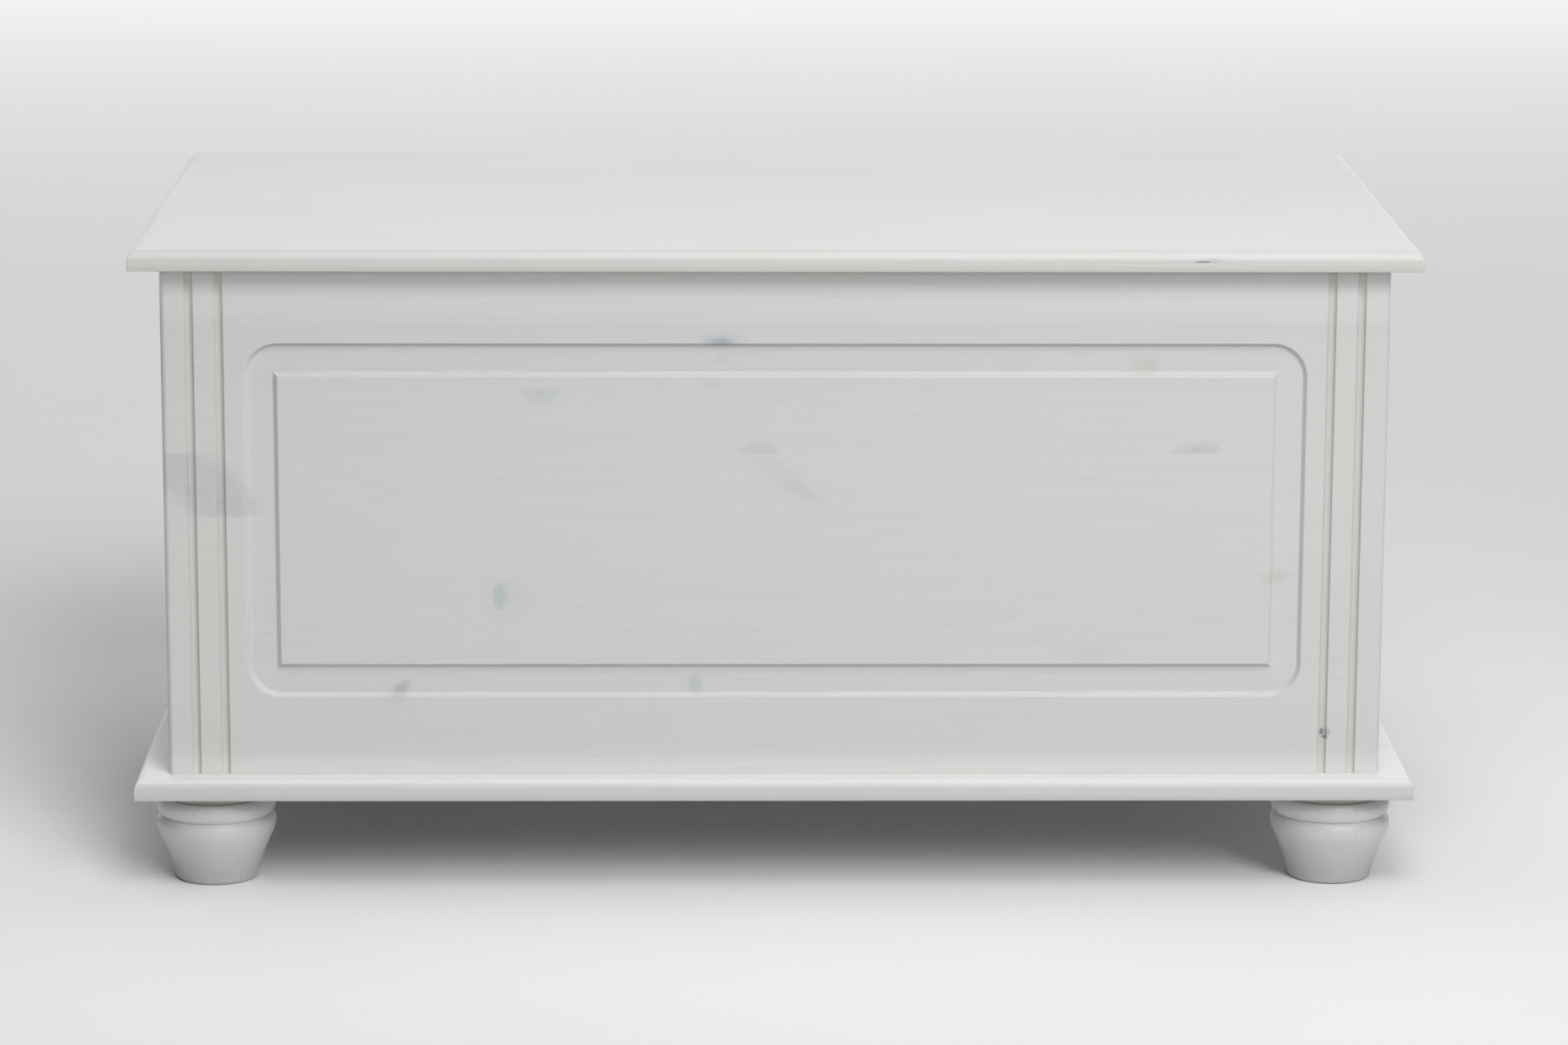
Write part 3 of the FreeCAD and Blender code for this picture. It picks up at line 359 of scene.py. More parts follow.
def glazedPine(name, look):
    material, tree, shader, place = newMaterial(name)
    split = add(tree, "SeparateXYZ", {0: place}).outputs
    along, across, depth = (split["XYZ".index(axis)] for axis in look["axes"])

    # Staves: which one a point is in, and three chances of its own
    width = look["staveWidth"] * mm
    start = look["staveStart"] * mm
    stave = calc(tree, "FLOOR", calc(tree, "DIVIDE", minus(tree, across, start), width))
    local = minus(tree, across, scaled(tree, stave, width, start + width / 2))
    staveLuck = luck(tree, calc(tree, "ADD", stave, look["seed"]))["Color"]
    chance = add(tree, "SeparateColor", {0: staveLuck}).outputs
    grainPlace = vector(tree, along, across, depth)
    stavePlace = vector(tree, scaled(tree, stave, grain["staveShift"], along), local, depth)

    # Knots, in the board's own plane, with ragged edges
    ragged = add(tree, "TexNoise", {"Vector": grainPlace, "Scale": grain["raggedScale"], "Detail": 3.0})
    jitter = vectorCalc(tree, "SUBTRACT", ragged.outputs["Color"], (0.5, 0.5, 0.5))
    swing = (*(reach * mm for reach in grain["ragged"]), 0)
    raggedPlace = vectorCalc(tree, "MULTIPLY_ADD", jitter, swing, vector(tree, along, across))
    push = 0.0
    knots = []
    for mark in look["knots"]:
        home = math.floor((mark["at"][1] - look["staveStart"]) / look["staveWidth"]) + mark["homeShift"]
        made = add(tree, "Group", {
            "Place": raggedPlace, "Centre": (*(value * mm for value in mark["at"]), 0),
            "Size": (*(value * mm / 2 for value in mark["size"]), 1), "Turn": math.radians(mark["turn"]),
            "Soft": mark["soft"], "Home": home if mark["cut"] else knotLook["anyStave"], "Stave": stave,
        }, node_tree=pineKnot)
        push = calc(tree, "ADD", push, made.outputs["Push"])
        knots.append((mark, made.outputs))

    # Year rings round the heart that each stave's tree had, below or above the board
    side = calc(tree, "SIGN", minus(tree, chance[2], 0.5))
    heartDepth = (value * mm for value in grain["heartDepth"])
    below = times(tree, side, scaled(tree, chance[1], *heartDepth))
    aside = scaled(tree, chance[0], grain["heartAside"] * mm, -grain["heartAside"] / 2 * mm)
    acrossHeart = minus(tree, local, aside)
    depthHeart = minus(tree, depth, calc(tree, "ADD", below, look["depthMiddle"] * mm))
    radius = vectorCalc(tree, "LENGTH", vector(tree, acrossHeart, depthHeart))
    drift = noise(tree, stavePlace, *grain["drift"])
    swayed = scaled(tree, drift, look["sway"] * mm, radius)
    grown = minus(tree, swayed, times(tree, push, grain["push"]))
    uneven = noise(tree, vector(tree, grown), *grain["uneven"])
    uneven = scaled(tree, uneven, grain["unevenRing"] * mm, grown)
    rings = calc(tree, "DIVIDE", uneven, look["ringPitch"] * mm)
    ringShare = calc(tree, "FRACT", rings)
    rise = remap(tree, ringShare, *grain["rise"])
    fall = remap(tree, ringShare, *grain["fall"])
    ringLuck = luck(tree, calc(tree, "FLOOR", rings))[0]
    bold = scaled(tree, ringLuck, 1 - grain["faintRing"], grain["faintRing"])
    late = times(tree, rise, fall, bold)

    # Fibres, short resin canals and the cloudy thickness of the glaze
    fibre = noise(tree, stavePlace, *grain["fibre"])
    streak = noise(tree, stavePlace, *grain["streak"])
    canal = noise(tree, stavePlace, *grain["canal"])
    cloud = noise(tree, grainPlace, *grain["cloud"])
    thin = noise(tree, grainPlace, *grain["thin"])
    shade = 1.0
    for amount, strength in (
        (late, -look["grain"]), (times(tree, late, thin), -look["grain"] * grain["thinGrain"]),
        (minus(tree, fibre, 0.5), look["fibre"]),
        (minus(tree, streak, 0.5), look["fibre"]), (canal, -look["fibre"]),
    ):
        shade = scaled(tree, amount, strength, shade)
    staveShade = scaled(tree, chance[1], look["staveTone"], 1 - look["staveTone"] / 2)
    gap = minus(tree, width / 2, calc(tree, "ABSOLUTE", local))
    glue = remap(tree, gap, *(reach * mm for reach in grain["glueReach"]), 1 - look["glueLine"], 1.0)
    shade = times(tree, shade, staveShade, glue)
    if look["paintedTopLight"]:  # painted light and shade: faces that look up are made lighter and faces that look down darker
        upwards = add(tree, "SeparateXYZ", {0: add(tree, "TexCoord").outputs["Normal"]}).outputs[2]
        paintedTopShare = remap(tree, upwards, *grain["upRange"], 1.0, 1 + look["paintedTopLight"])
        paintedUnderShade = remap(tree, upwards, *grain["downRange"], 1 - look["paintedUnderShade"], 1.0)
        shade = times(tree, paintedTopShare, paintedUnderShade, shade)
    grey = add(tree, "CombineColor", {0: shade, 1: shade, 2: shade}).outputs[0]
    colour = blend(tree, cloud, look["glazeCool"], look["glazeWarm"])
    colour = blend(tree, 1.0, colour, grey, "MULTIPLY")
    for full, clear, tint in look["bands"]:  # painted light and shade: a tint that fades out from one height to another
        fade = remap(tree, split[2], full * mm, clear * mm, 1.0, 0.0)
        colour = blend(tree, fade, colour, tint, "MULTIPLY")
    mottle = noise(tree, grainPlace, *grain["mottle"])
    for mark, found in knots:
        stain = times(tree, found["Stain"], mottle, mark["strength"])
        if "layer" in mark:  # only at this depth
            level = calc(tree, "ABSOLUTE", minus(tree, depth, mark["layer"][0] * mm))
            reach = (mark["layer"][1] * mm * share for share in grain["layerShares"])
            stain = times(tree, stain, remap(tree, level, *reach, 1.0, 0.0))
        colour = blend(tree, stain, colour, mark["tint"], "MULTIPLY")
        if "heart" in mark:
            heart = times(tree, found["Heart"], mark["strength"])
            colour = blend(tree, heart, colour, mark["heart"], "MULTIPLY")

    # Flutes, where the glaze is thin and warm
    for line in look["flutes"]:
        fromFlute = calc(tree, "ABSOLUTE", minus(tree, calc(tree, "ABSOLUTE", along), line * mm))
        reach = (value * mm for value in grain["fluteReach"])
        inFlute = remap(tree, fromFlute, *reach, grain["fluteShare"], 0.0)
        colour = blend(tree, inFlute, colour, look["fluteTint"], "MULTIPLY")

    # Rubbed corners, where the pine shows warm, and routed slopes, tinted a little darker and warmer
    worn, cut = (
        add(tree, "Attribute", attribute_name=layer, attribute_type="GEOMETRY").outputs["Fac"]
        for layer in ("edgeWear", "cutTone")
    )
    rubbed = times(tree, worn, noise(tree, grainPlace, *grain["rubbed"]), look["wear"])
    colour = blend(tree, rubbed, colour, look["wornColour"])
    colour = blend(tree, cut, colour, look["cutTint"], "MULTIPLY")

    height = scaled(tree, late, 0.5, times(tree, fibre, 0.5))
    if look["toolMarks"]:  # fine rings left by the lathe
        height = scaled(tree, noise(tree, place, *grain["lathe"]), look["toolMarks"], height)
    gloss = scaled(tree, cloud, grain["cloudGloss"], look["rough"] - grain["cloudGloss"] / 2)
    gloss = minus(tree, gloss, grain["fibreGloss"] / 2)
    feed(tree, shader, {
        "Base Color": colour, "Normal": bumped(tree, height, look["relief"] * mm),
        "Roughness": scaled(tree, fibre, grain["fibreGloss"], gloss),
        "IOR": grain["ior"], "Coat Weight": look["coat"], "Coat Roughness": grain["coatRough"],
    })
    return material


smokeGrey = (0.87, 0.888, 0.908)
blueGrey = (0.80, 0.845, 0.885)
coolGrey = (0.885, 0.912, 0.938)
greenGrey = (0.885, 0.92, 0.92)
seaGreen = (0.82, 0.915, 0.91)
mossGrey = (0.80, 0.845, 0.835)
warmGrey = (0.92, 0.91, 0.885)
pinBrown = (0.22, 0.24, 0.26)

pine = {
    "axes": "XZY", "depthMiddle": -243, "staveWidth": 50.7, "staveStart": 45.9, "seed": 11,
    "ringPitch": 2.9, "sway": 16, "grain": 0.022, "fibre": 0.03, "staveTone": 0.02, "glueLine": 0.02,
    "glazeCool": (0.636, 0.651, 0.650), "glazeWarm": (0.661, 0.645, 0.635), "cutTint": (0.90, 0.89, 0.87),
    "wear": 0.55, "wornColour": (0.76, 0.745, 0.67), "rough": 0.46, "coat": 0.12, "relief": 0.12,
    "paintedTopLight": 0, "paintedUnderShade": 0, "toolMarks": 0, "bands": (), "flutes": (), "knots": (),
}


def knot(along, across, length, width, tint, strength, soft, turn=0, cut=False, homeShift=0, **more):
    return {
        "at": (along, across), "size": (length, width), "tint": tint, "strength": strength, "soft": soft,
        "turn": turn, "cut": cut, "homeShift": homeShift, **more,
    }


frontKnots = (  # cut ones end at the glue line above or below them
    knot(-446, 324, 84, 46, smokeGrey, 1.0, 0.4, cut=True, turn=35),
    knot(-468, 336, 14, 22, greenGrey, 0.5, 0.7, cut=True),
    knot(-414, 306, 36, 16, coolGrey, 0.35, 0.7, cut=True),
    knot(-458, 321, 4, 12, coolGrey, 0.7, 0.6, turn=-30),
    knot(-434, 312.5, 4, 14, coolGrey, 0.7, 0.6),
    knot(-184, 401, 33, 23, coolGrey, 0.95, 0.3, cut=True, homeShift=-1),
    knot(-13.3, 350.2, 27, 18, coolGrey, 0.95, 0.35, cut=True),
    knot(322, 350.2, 22, 17, greenGrey, 0.95, 0.3, cut=True),
    knot(336, 350.2, 22, 20, greenGrey, 0.95, 0.3, cut=True),
    knot(13, 326.5, 62, 15, coolGrey, 0.75, 0.8, turn=37),
    knot(-216, 235.6, 11, 21, seaGreen, 1.0, 0.4, heart=(0.9, 0.95, 0.93)),
    knot(-212, 236, 30, 34, coolGrey, 0.3, 0.8),
    knot(-198, 234, 30, 8, coolGrey, 0.3, 0.9),
    knot(288.5, 419, 20, 14, warmGrey, 0.9, 0.6),
    knot(-43, 438.5, 31, 12.5, blueGrey, 0.85, 0.7, heart=(0.72, 0.74, 0.76)),
    knot(-43, 424, 8, 6, blueGrey, 0.5, 0.7),
    knot(-49.5, 404.3, 12, 5, blueGrey, 0.5, 0.7),
    knot(-294.7, 160.8, 15, 10, mossGrey, 1.0, 0.5, turn=-35, heart=(0.88, 0.90, 0.90)),
    knot(-299, 152, 20, 9, coolGrey, 0.6, 0.8),
    knot(-62.6, 164.7, 11, 15, blueGrey, 0.8, 0.6),
    knot(249.3, 189.9, 24, 11, coolGrey, 0.7, 0.8),
    knot(394, 251, 22, 10, warmGrey, 1.0, 0.7),
    knot(434, 124, 11, 13, coolGrey, 0.8, 0.6),
    knot(432.4, 125.6, 3.6, 5.6, pinBrown, 0.85, 0.5),
    knot(434.8, 120.8, 4.2, 2.8, pinBrown, 0.8, 0.5),
    knot(436.4, 125, 3, 6.5, pinBrown, 0.35, 0.6),
)
frontPine = glazedPine("frontPine", {
    **pine, "knots": frontKnots, "flutes": (455.5, 432.5), "fluteTint": (0.93, 0.915, 0.865),
    # painted highlight on up-facing routed slopes and painted shade on down-facing ones
    "paintedTopLight": 0.08, "paintedUnderShade": 0.3,
    # painted light and shade by height: a lighter upper rail, a painted shadow under the lid's edge and painted
    # bounce light above the base
    "bands": (
        (478, 446, (1.19, 1.19, 1.19)), (497, 488, (0.54, 0.52, 0.49)), (92, 116, (1.20, 1.20, 1.19)),
    ),
})
topKnots = (
    knot(388.6, -18.7, 26, 12, coolGrey, 0.35, 0.7),
    knot(239, 122, 60, 9, coolGrey, 0.35, 0.7, turn=4),
    knot(422, -152, 24, 9, coolGrey, 0.3, 0.7),
    knot(-155, -22, 30, 10, coolGrey, 0.25, 0.7),
    knot(-241, -113, 36, 8, coolGrey, 0.2, 0.7),
    knot(328.6, -275, 11, 4, pinBrown, 0.7, 0.5, layer=(505.5, 0.7)),
    knot(336, -275, 16, 4, blueGrey, 0.8, 0.6, layer=(506.5, 1.6)),
)
lidPine = glazedPine("lidPine", {
    **pine, "axes": "XYZ", "depthMiddle": 505, "staveWidth": 54.2, "staveStart": -275, "seed": 31,
    "grain": 0.012, "fibre": 0.02, "glazeCool": (0.655, 0.660, 0.650), "glazeWarm": (0.671, 0.658, 0.637),
    # painted highlight on the up-facing top, and painted shade on the lower part of the front edge and the
    # underside
    "paintedTopLight": 0.09, "bands": ((497, 504, (0.86, 0.86, 0.85)),), "knots": topKnots,
})
basePine = glazedPine("basePine", {
    **pine, "axes": "XYZ", "depthMiddle": 84, "staveWidth": 55, "staveStart": -275, "seed": 47,
    # painted highlight on the up-facing top, and painted shade towards the bottom of the front edge and the
    # underside
    "grain": 0.014, "paintedTopLight": 0.30, "bands": ((76, 83, (0.88, 0.88, 0.88)),),
})
sidePine = glazedPine("sidePine", {**pine, "axes": "YZX", "depthMiddle": 470, "seed": 59})
backPine = glazedPine("backPine", {**pine, "depthMiddle": 259, "seed": 71})
postPine = glazedPine("postPine", {
    **pine, "axes": "ZXY", "depthMiddle": 0, "staveWidth": 60, "staveStart": -480, "seed": 83, "grain": 0.03,
})
battenPine = glazedPine("battenPine", {
    **pine, "axes": "YXZ", "depthMiddle": 488, "staveWidth": 90, "staveStart": -345, "seed": 97,
    "grain": 0.035,
})
footPine = glazedPine("footPine", {
    **pine, "axes": "ZXY", "depthMiddle": 0, "staveWidth": 47, "staveStart": -491.3, "seed": 113,
    "grain": 0.03, "fibre": 0.04, "toolMarks": 0.9, "rough": 0.40, "coat": 0.2,
    "glazeCool": (0.645, 0.655, 0.655), "glazeWarm": (0.668, 0.654, 0.632),
    # painted shade: darker towards the toe, and a painted shadow on the bead's top under the base
    "bands": ((0, 46, (0.75, 0.755, 0.76)), (76, 60, (0.70, 0.675, 0.65))),
})
print("wood finishes made")

plated = {  # what both platings share
    "haze": ((60, 60, 60), 4.0, 0.6, 2.0), "pits": ((420, 420, 420), 2.0, 0.5, 5.0, (0.62, 0.75)),
    "pitShare": 0.35, "pitDepth": -0.6, "lineGloss": 0.16, "hazeGloss": 0.14, "relief": 0.03,
}


def metal(name, look):  # plated sheet steel with fine drawn lines, haze and small pits
    material, tree, shader, place = newMaterial(name)
    lines = noise(tree, place, look["lines"], 3.0, 0.65)
    haze = noise(tree, place, *look["haze"])
    pits = noise(tree, place, *look["pits"])
    colour = blend(tree, haze, look["dark"], look["light"])
    gloss = scaled(tree, lines, look["lineGloss"], look["rough"] - look["lineGloss"] / 2)
    gloss = minus(tree, gloss, look["hazeGloss"] / 2)
    height = scaled(tree, pits, look["pitDepth"], lines)
    feed(tree, shader, {
        "Base Color": blend(tree, times(tree, pits, look["pitShare"]), colour, look["pit"]),
        "Roughness": scaled(tree, haze, look["hazeGloss"], gloss),
        "Normal": bumped(tree, height, look["relief"] * mm), "Metallic": 1.0,
    })
    return material


zincSteel = metal("zincSteel", {
    **plated, "lines": (900, 40, 900), "dark": (0.56, 0.57, 0.58), "light": (0.70, 0.71, 0.71),
    "pit": (0.44, 0.45, 0.47), "rough": 0.36,
})
stayNickel = metal("stayNickel", {
    **plated, "lines": (900, 60, 60), "dark": (0.52, 0.51, 0.48), "light": (0.64, 0.63, 0.59),
    "pit": (0.40, 0.39, 0.37), "rough": 0.30,
})
beechLook = {
    "fibre": ((60, 900, 900), 3.0, 0.6), "dark": (0.50, 0.33, 0.19), "light": (0.60, 0.42, 0.26),
    "fleck": ((300, 900, 900), 1.0, 0.5, 3.0, (0.62, 0.72)), "fleckShare": 0.5,
    "fleckColour": (0.36, 0.20, 0.10), "relief": 0.1, "rough": 0.6,
}


def plainBeech(name, look):
    material, tree, shader, place = newMaterial(name)
    fibre = noise(tree, place, *look["fibre"])
    fleck = noise(tree, place, *look["fleck"])
    colour = blend(tree, fibre, look["dark"], look["light"])
    feed(tree, shader, {
        "Base Color": blend(tree, times(tree, fleck, look["fleckShare"]), colour, look["fleckColour"]),
        "Normal": bumped(tree, fibre, look["relief"] * mm), "Roughness": look["rough"],
    })
    return material


beech = plainBeech("beech", beechLook)
finishOf = {"zinc_steel": zincSteel, "stay_steel": stayNickel, "beech": beech}
print("metal and beech finishes made")

# Countersunk screws. A place is the middle of the head and the way that the head looks
largeScrew = {"head": 4, "shank": 2, "tip": 4, "pitch": 1.9}
smallScrew = {"head": 2.8, "shank": 1.5, "tip": 2.5, "pitch": 1.2}
screwShape = {
    "threadShare": 0.62, "rootShare": 0.72, "pointShare": 0.6, "flankShare": 0.3, "rim": 0.25,
    "rimLeanShare": 0.2, "recessShare": 0.6, "recessWidthShare": 0.17, "recessDepthShare": 0.42,
    "play": 0.12, "seatDepth": 7, "past": 1, "segments": 28,
}
screwRows = {
    "baseShares": (0.12, 0.5, 0.88), "baseSideShares": (0.25, 0.75), "postEndShares": (0.2, 0.8),
    "postSideShares": (0.3, 0.7), "battenShares": (0.08, 0.5, 0.92), "hingeShares": (0.15, 0.5, 0.85),
    "plateSpacing": 16, "bracketSpacing": 7.5, "bracketShare": 0.6,
}
screwLuck = random.Random(5)


def makeScrew(kind, length):
    head, shank, tip, pitch = (kind[key] * mm for key in ("head", "shank", "tip", "pitch"))
    root, rim, length = shank * screwShape["rootShare"], screwShape["rim"] * mm, length * mm
    flank = pitch * screwShape["flankShare"]
    profile = [(0, -length), (root * screwShape["pointShare"], tip / 2 - length)]
    height = tip - length
    while height < -length * (1 - screwShape["threadShare"]):
        profile += [(root, height - flank), (shank, height), (root, height + flank)]
        height += pitch
    profile += [(root, height), (shank, height + pitch / 2), (shank, shank - head)]
    profile += [(head - rim * screwShape["rimLeanShare"], -rim), (head - rim, 0), (0, 0)]
    screw = turned(profile, screwShape["segments"])
    shares = (screwShape["recess" + key] for key in ("Share", "WidthShare", "DepthShare"))
    long, wide, deep = (head * share for share in shares)
    cross = [block((-a, -b, -deep), (a, b, deep)) for a, b in ((long, wide), (wide, long))]
    return carve(screw, cross)


def driven(kind, length, places):  # one group of equal screws, each left at its own turn
    screw = makeScrew(kind, length)
    copies = []
    for point, outwards in places:
        turn = Matrix.Rotation(screwLuck.uniform(0, math.pi / 2), 4, "Z")
        copies.append(moved(screw.copy(), Matrix.Translation(point) @ facing(outwards) @ turn))
    screw.free()
    return joined(copies)


def seats(kind, places):  # the tools that cut the screws' seats
    head, shank = (kind[key] * mm + screwShape["play"] * mm for key in ("head", "shank"))
    deep, past = -screwShape["seatDepth"] * mm, screwShape["past"] * mm
    profile = [(0, deep), (shank, deep), (shank, shank - head), (head, 0), (head, past), (0, past)]
    return [placed(turned(profile, screwShape["segments"]), *place) for place in places]


def rowed(low, high, shares):
    return [low + (high - low) * share for share in screwRows[shares]]


def baseScrewPlaces():
    low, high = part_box("front_panel")[0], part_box("back_panel")[1]
    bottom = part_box("base_board")[0].z
    places = []
    for node in ("front_panel", "back_panel"):
        y = sum(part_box(node), Vector()).y / 2
        places += [(x, y) for x in rowed(low.x, high.x, "baseShares")]
    for side in sides:
        x = sum(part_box(side + "_side_panel"), Vector()).x / 2
        places += [(x, y) for y in rowed(low.y, high.y, "baseSideShares")]
    return [((x, y, bottom), (0, 0, -1)) for x, y in places]


def postScrewPlaces(node):
    low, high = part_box(node)
    centre = (low + high) / 2
    bottom, top = (corner.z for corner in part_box("front_panel"))
    wayX, wayY = -math.copysign(1, centre.x), -math.copysign(1, centre.y)
    x, y = high.x if wayX > 0 else low.x, high.y if wayY > 0 else low.y
    places = [((centre.x, y, z), (0, wayY, 0)) for z in rowed(bottom, top, "postEndShares")]
    return places + [((x, centre.y, z), (wayX, 0, 0)) for z in rowed(bottom, top, "postSideShares")]


def battenScrewPlaces(node):
    low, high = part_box(node)
    x = (low.x + high.x) / 2
    return [((x, y, low.z), (0, 0, -1)) for y in rowed(low.y, high.y, "battenShares")]


def leafScrewPlaces(hinge, side):  # hinge is left or right, and side is lid or body
    low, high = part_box(hinge + "_hinge_" + side + "_leaf")
    y = (low.y + boxBack) / 2
    z, way = (lidUnder, -1) if side == "lid" else (boxTop, 1)
    return [((x, y, z), (0, 0, way)) for x in rowed(low.x, high.x, "hingeShares")]


def plateScrewPlaces(side):  # side is left or right
    low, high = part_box(side + "_stay_plate")
    centre = (low + high) / 2
    x = high.x if centre.x < 0 else low.x
    out = screwRows["plateSpacing"] * mm
    return [((x, centre.y + step * out, centre.z), (-math.copysign(1, x), 0, 0)) for step in (-1, 1)]


def bracketScrewPlaces(side):
    low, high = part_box(side + "_stay_bracket")
    share = screwRows["bracketShare"] if low.x < 0 else 1 - screwRows["bracketShare"]
    x, y = low.x + (high.x - low.x) * share, (low.y + high.y) / 2
    z = high.z - bracketShape["thickness"] * mm
    out = screwRows["bracketSpacing"] * mm
    return [((x, y + step * out, z), (0, 0, -1)) for step in (-1, 1)]


# Front panel: a routed frame round a raised field, and two flutes down each side
frontPanel = {
    "edgeRound": 4.5, "flutesFromEnd": (22.5, 45.5), "fluteRadius": 3.3, "fluteInset": 0.3,
    "frameFromEnd": 63.9, "frameFromTop": 59.9, "frameFromBottom": 62.9, "frameCorner": 26.5,
    "frameDepth": 4.2, "frameSlope": 2.7, "floorWidth": 20.3, "fieldSlope": 3.2, "slopeRound": 0.8,
    "overrun": 5, "arris": 0.6, "edgeReach": 0.1, "slopeNormal": 0.9,
    "edgeSteps": 8, "cornerSteps": 14, "slopeSteps": 4,
}


def uprightPlate(left, right, bottom, top, y, corner=0.0):  # a flat plate across the front, corners rounded
    bm = bmesh.new()
    places = [(left, y, bottom), (right, y, bottom), (right, y, top), (left, y, top)]
    bm.faces.new([bm.verts.new(place) for place in places])
    if corner:
        bevel(bm, bm.verts[:], corner, frontPanel["cornerSteps"], "VERTICES")
    return bm


def thickened(bm, distance, slope, depth):  # pulls the plate along Y, then draws its far face in
    faces = bmesh.ops.extrude_face_region(bm, geom=bm.faces[:])["geom"]
    far = [face for face in faces if isinstance(face, bmesh.types.BMFace)]
    bmesh.ops.translate(bm, vec=(0, distance, 0), verts=far[0].verts)
    bmesh.ops.recalc_face_normals(bm, faces=bm.faces)
    bmesh.ops.inset_region(
        bm, faces=far, thickness=slope, depth=depth, use_even_offset=True, use_boundary=True,
    )
    bmesh.ops.recalc_face_normals(bm, faces=bm.faces)
    return bm


def inFrame(edge, outline):  # whether an edge runs round the frame or its field
    left, right, bottom, top = outline
    reach = frontPanel["edgeReach"] * mm
    places = [vert.co for vert in edge.verts]
    inside = all(
        left - reach < place.x < right + reach and bottom - reach < place.z < top + reach for place in places
    )
    return inside and near(places[0].y, places[1].y) and edge.calc_face_angle(0) > cornerTurn


def makeFront(size):
    low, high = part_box("front_panel")
    bm = block(low, high)
    upright = [e for e in bm.edges if near(middle(e).y, low.y) and near(middle(e).z, (low.z + high.z) / 2)]
    bevel(bm, upright, size["edgeRound"] * mm, size["edgeSteps"])
    past, radius = size["overrun"] * mm, size["fluteRadius"] * mm
    tools = []
    for inset in size["flutesFromEnd"]:
        for x in (low.x + inset * mm, high.x - inset * mm):
            centre = (x, low.y - size["fluteInset"] * mm, (low.z + high.z) / 2)
            tools.append(rod(centre, (0, 0, 1), radius, high.z - low.z + 2 * past))
    end, under, over = size["frameFromEnd"] * mm, size["frameFromBottom"] * mm, size["frameFromTop"] * mm
    outline = (low.x + end, high.x - end, low.z + under, high.z - over)
    frameCut = uprightPlate(*outline, low.y - past, size["frameCorner"] * mm)
    tools.append(thickened(frameCut, past, size["frameSlope"] * mm, size["frameDepth"] * mm))
    bm = carve(bm, tools)
    inner = (size["frameSlope"] + size["floorWidth"]) * mm
    inside = (outline[0] + inner, outline[1] - inner, outline[2] + inner, outline[3] - inner)
    floor = low.y + size["frameDepth"] * mm
    field = uprightPlate(*inside, floor + past / 2)
    field = thickened(field, -past / 2, size["fieldSlope"] * mm, size["frameDepth"] * mm)
    bm = carve(bm, [field], "UNION")
    rim = [edge for edge in bm.edges if inFrame(edge, outline) and near(middle(edge).y, low.y)]
    rim += [edge for edge in bm.edges if inFrame(edge, outline) and near(middle(edge).y, floor)]
    slopes = {face for edge in rim for face in edge.link_faces if abs(face.normal.y) < size["slopeNormal"]}
    marked(bm, slopes, "cutTone")
    bevel(bm, rim, size["slopeRound"] * mm, size["slopeSteps"])
    return soften(bm, size["arris"] * mm)


addPiece("front_panel", makeFront(frontPanel), frontPine)
print("front panel made")

# Side and back panels, and the leaves' flat plates, which also cut their recesses
plainBoard = {"arris": 0.6}
leaf = {
    "thickness": 1.5, "knuckles": 5, "knuckleRadius": 3, "knuckleGap": 0.3, "knuckleSteps": 40,
    "tabLap": 1, "bore": 1.55, "dome": 2.2, "seam": 0.3, "seamShare": 0.9, "seamPast": 1,
    "recessPast": 2, "arris": 0.3,
}
boxTop, boxBack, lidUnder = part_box("back_panel")[1].z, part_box("back_panel")[1].y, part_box("lid_board")[0].z


def makeBoard(node, size):
    return soften(block(*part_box(node)), size["arris"] * mm)


def leafLevels(side, past=0.0):  # the bottom and top of a leaf, on the lid or the body
    deep = leaf["thickness"] * mm
    return (lidUnder - past, lidUnder + deep) if side == "lid" else (boxTop - deep, boxTop + past)


def leafPlate(hinge, side, past=0.0):
    low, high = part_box(hinge + "_hinge_" + side + "_leaf")
    bottom, top = leafLevels(side, past)
    return block((low.x, low.y, bottom), (high.x, boxBack + past, top))


def leafRecesses(side):
    return [leafPlate(hinge, side, leaf["recessPast"] * mm) for hinge in sides]


for side in sides:
    node = side + "_side_panel"
    addPiece(node, makeBoard(node, plainBoard), sidePine, side + "Side")
addPiece("back_panel", carve(makeBoard("back_panel", plainBoard), leafRecesses("body")), backPine)
print("side and back panels made")

# Boards and sticks, each with some edges rounded or chamfered and seats for its screws
lidBoard = {"round": 8, "steps": 12, "arris": 0.8}
baseBoard = {"round": 7, "steps": 12, "arris": 0.8}
postShape = {"round": 5, "steps": 1, "arris": 0.8}
battenShape = {"round": 4, "steps": 1, "arris": 0.8}


def nosed(place, low, high):  # the upper edges along the front and both ends
    ends = near(place.x, low.x) or near(place.x, high.x) or near(place.y, low.y)
    return near(place.z, high.z) and ends


def inner(place, low, high):  # the upright edge that looks into the chest
    centre = (low + high) / 2
    return near(place.z, centre.z) and abs(place.x) < abs(centre.x) and abs(place.y) < abs(centre.y)


def lower(place, low, high):  # the long edges below
    return near(place.z, low.z) and near(place.y, (low.y + high.y) / 2)


def makeShaped(node, size, chosen, tools):
    low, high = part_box(node)
    bm = block(low, high)
    edges = [edge for edge in bm.edges if chosen(middle(edge), low, high)]
    bevel(bm, edges, size["round"] * mm, size["steps"])
    return carve(soften(bm, size["arris"] * mm), tools)


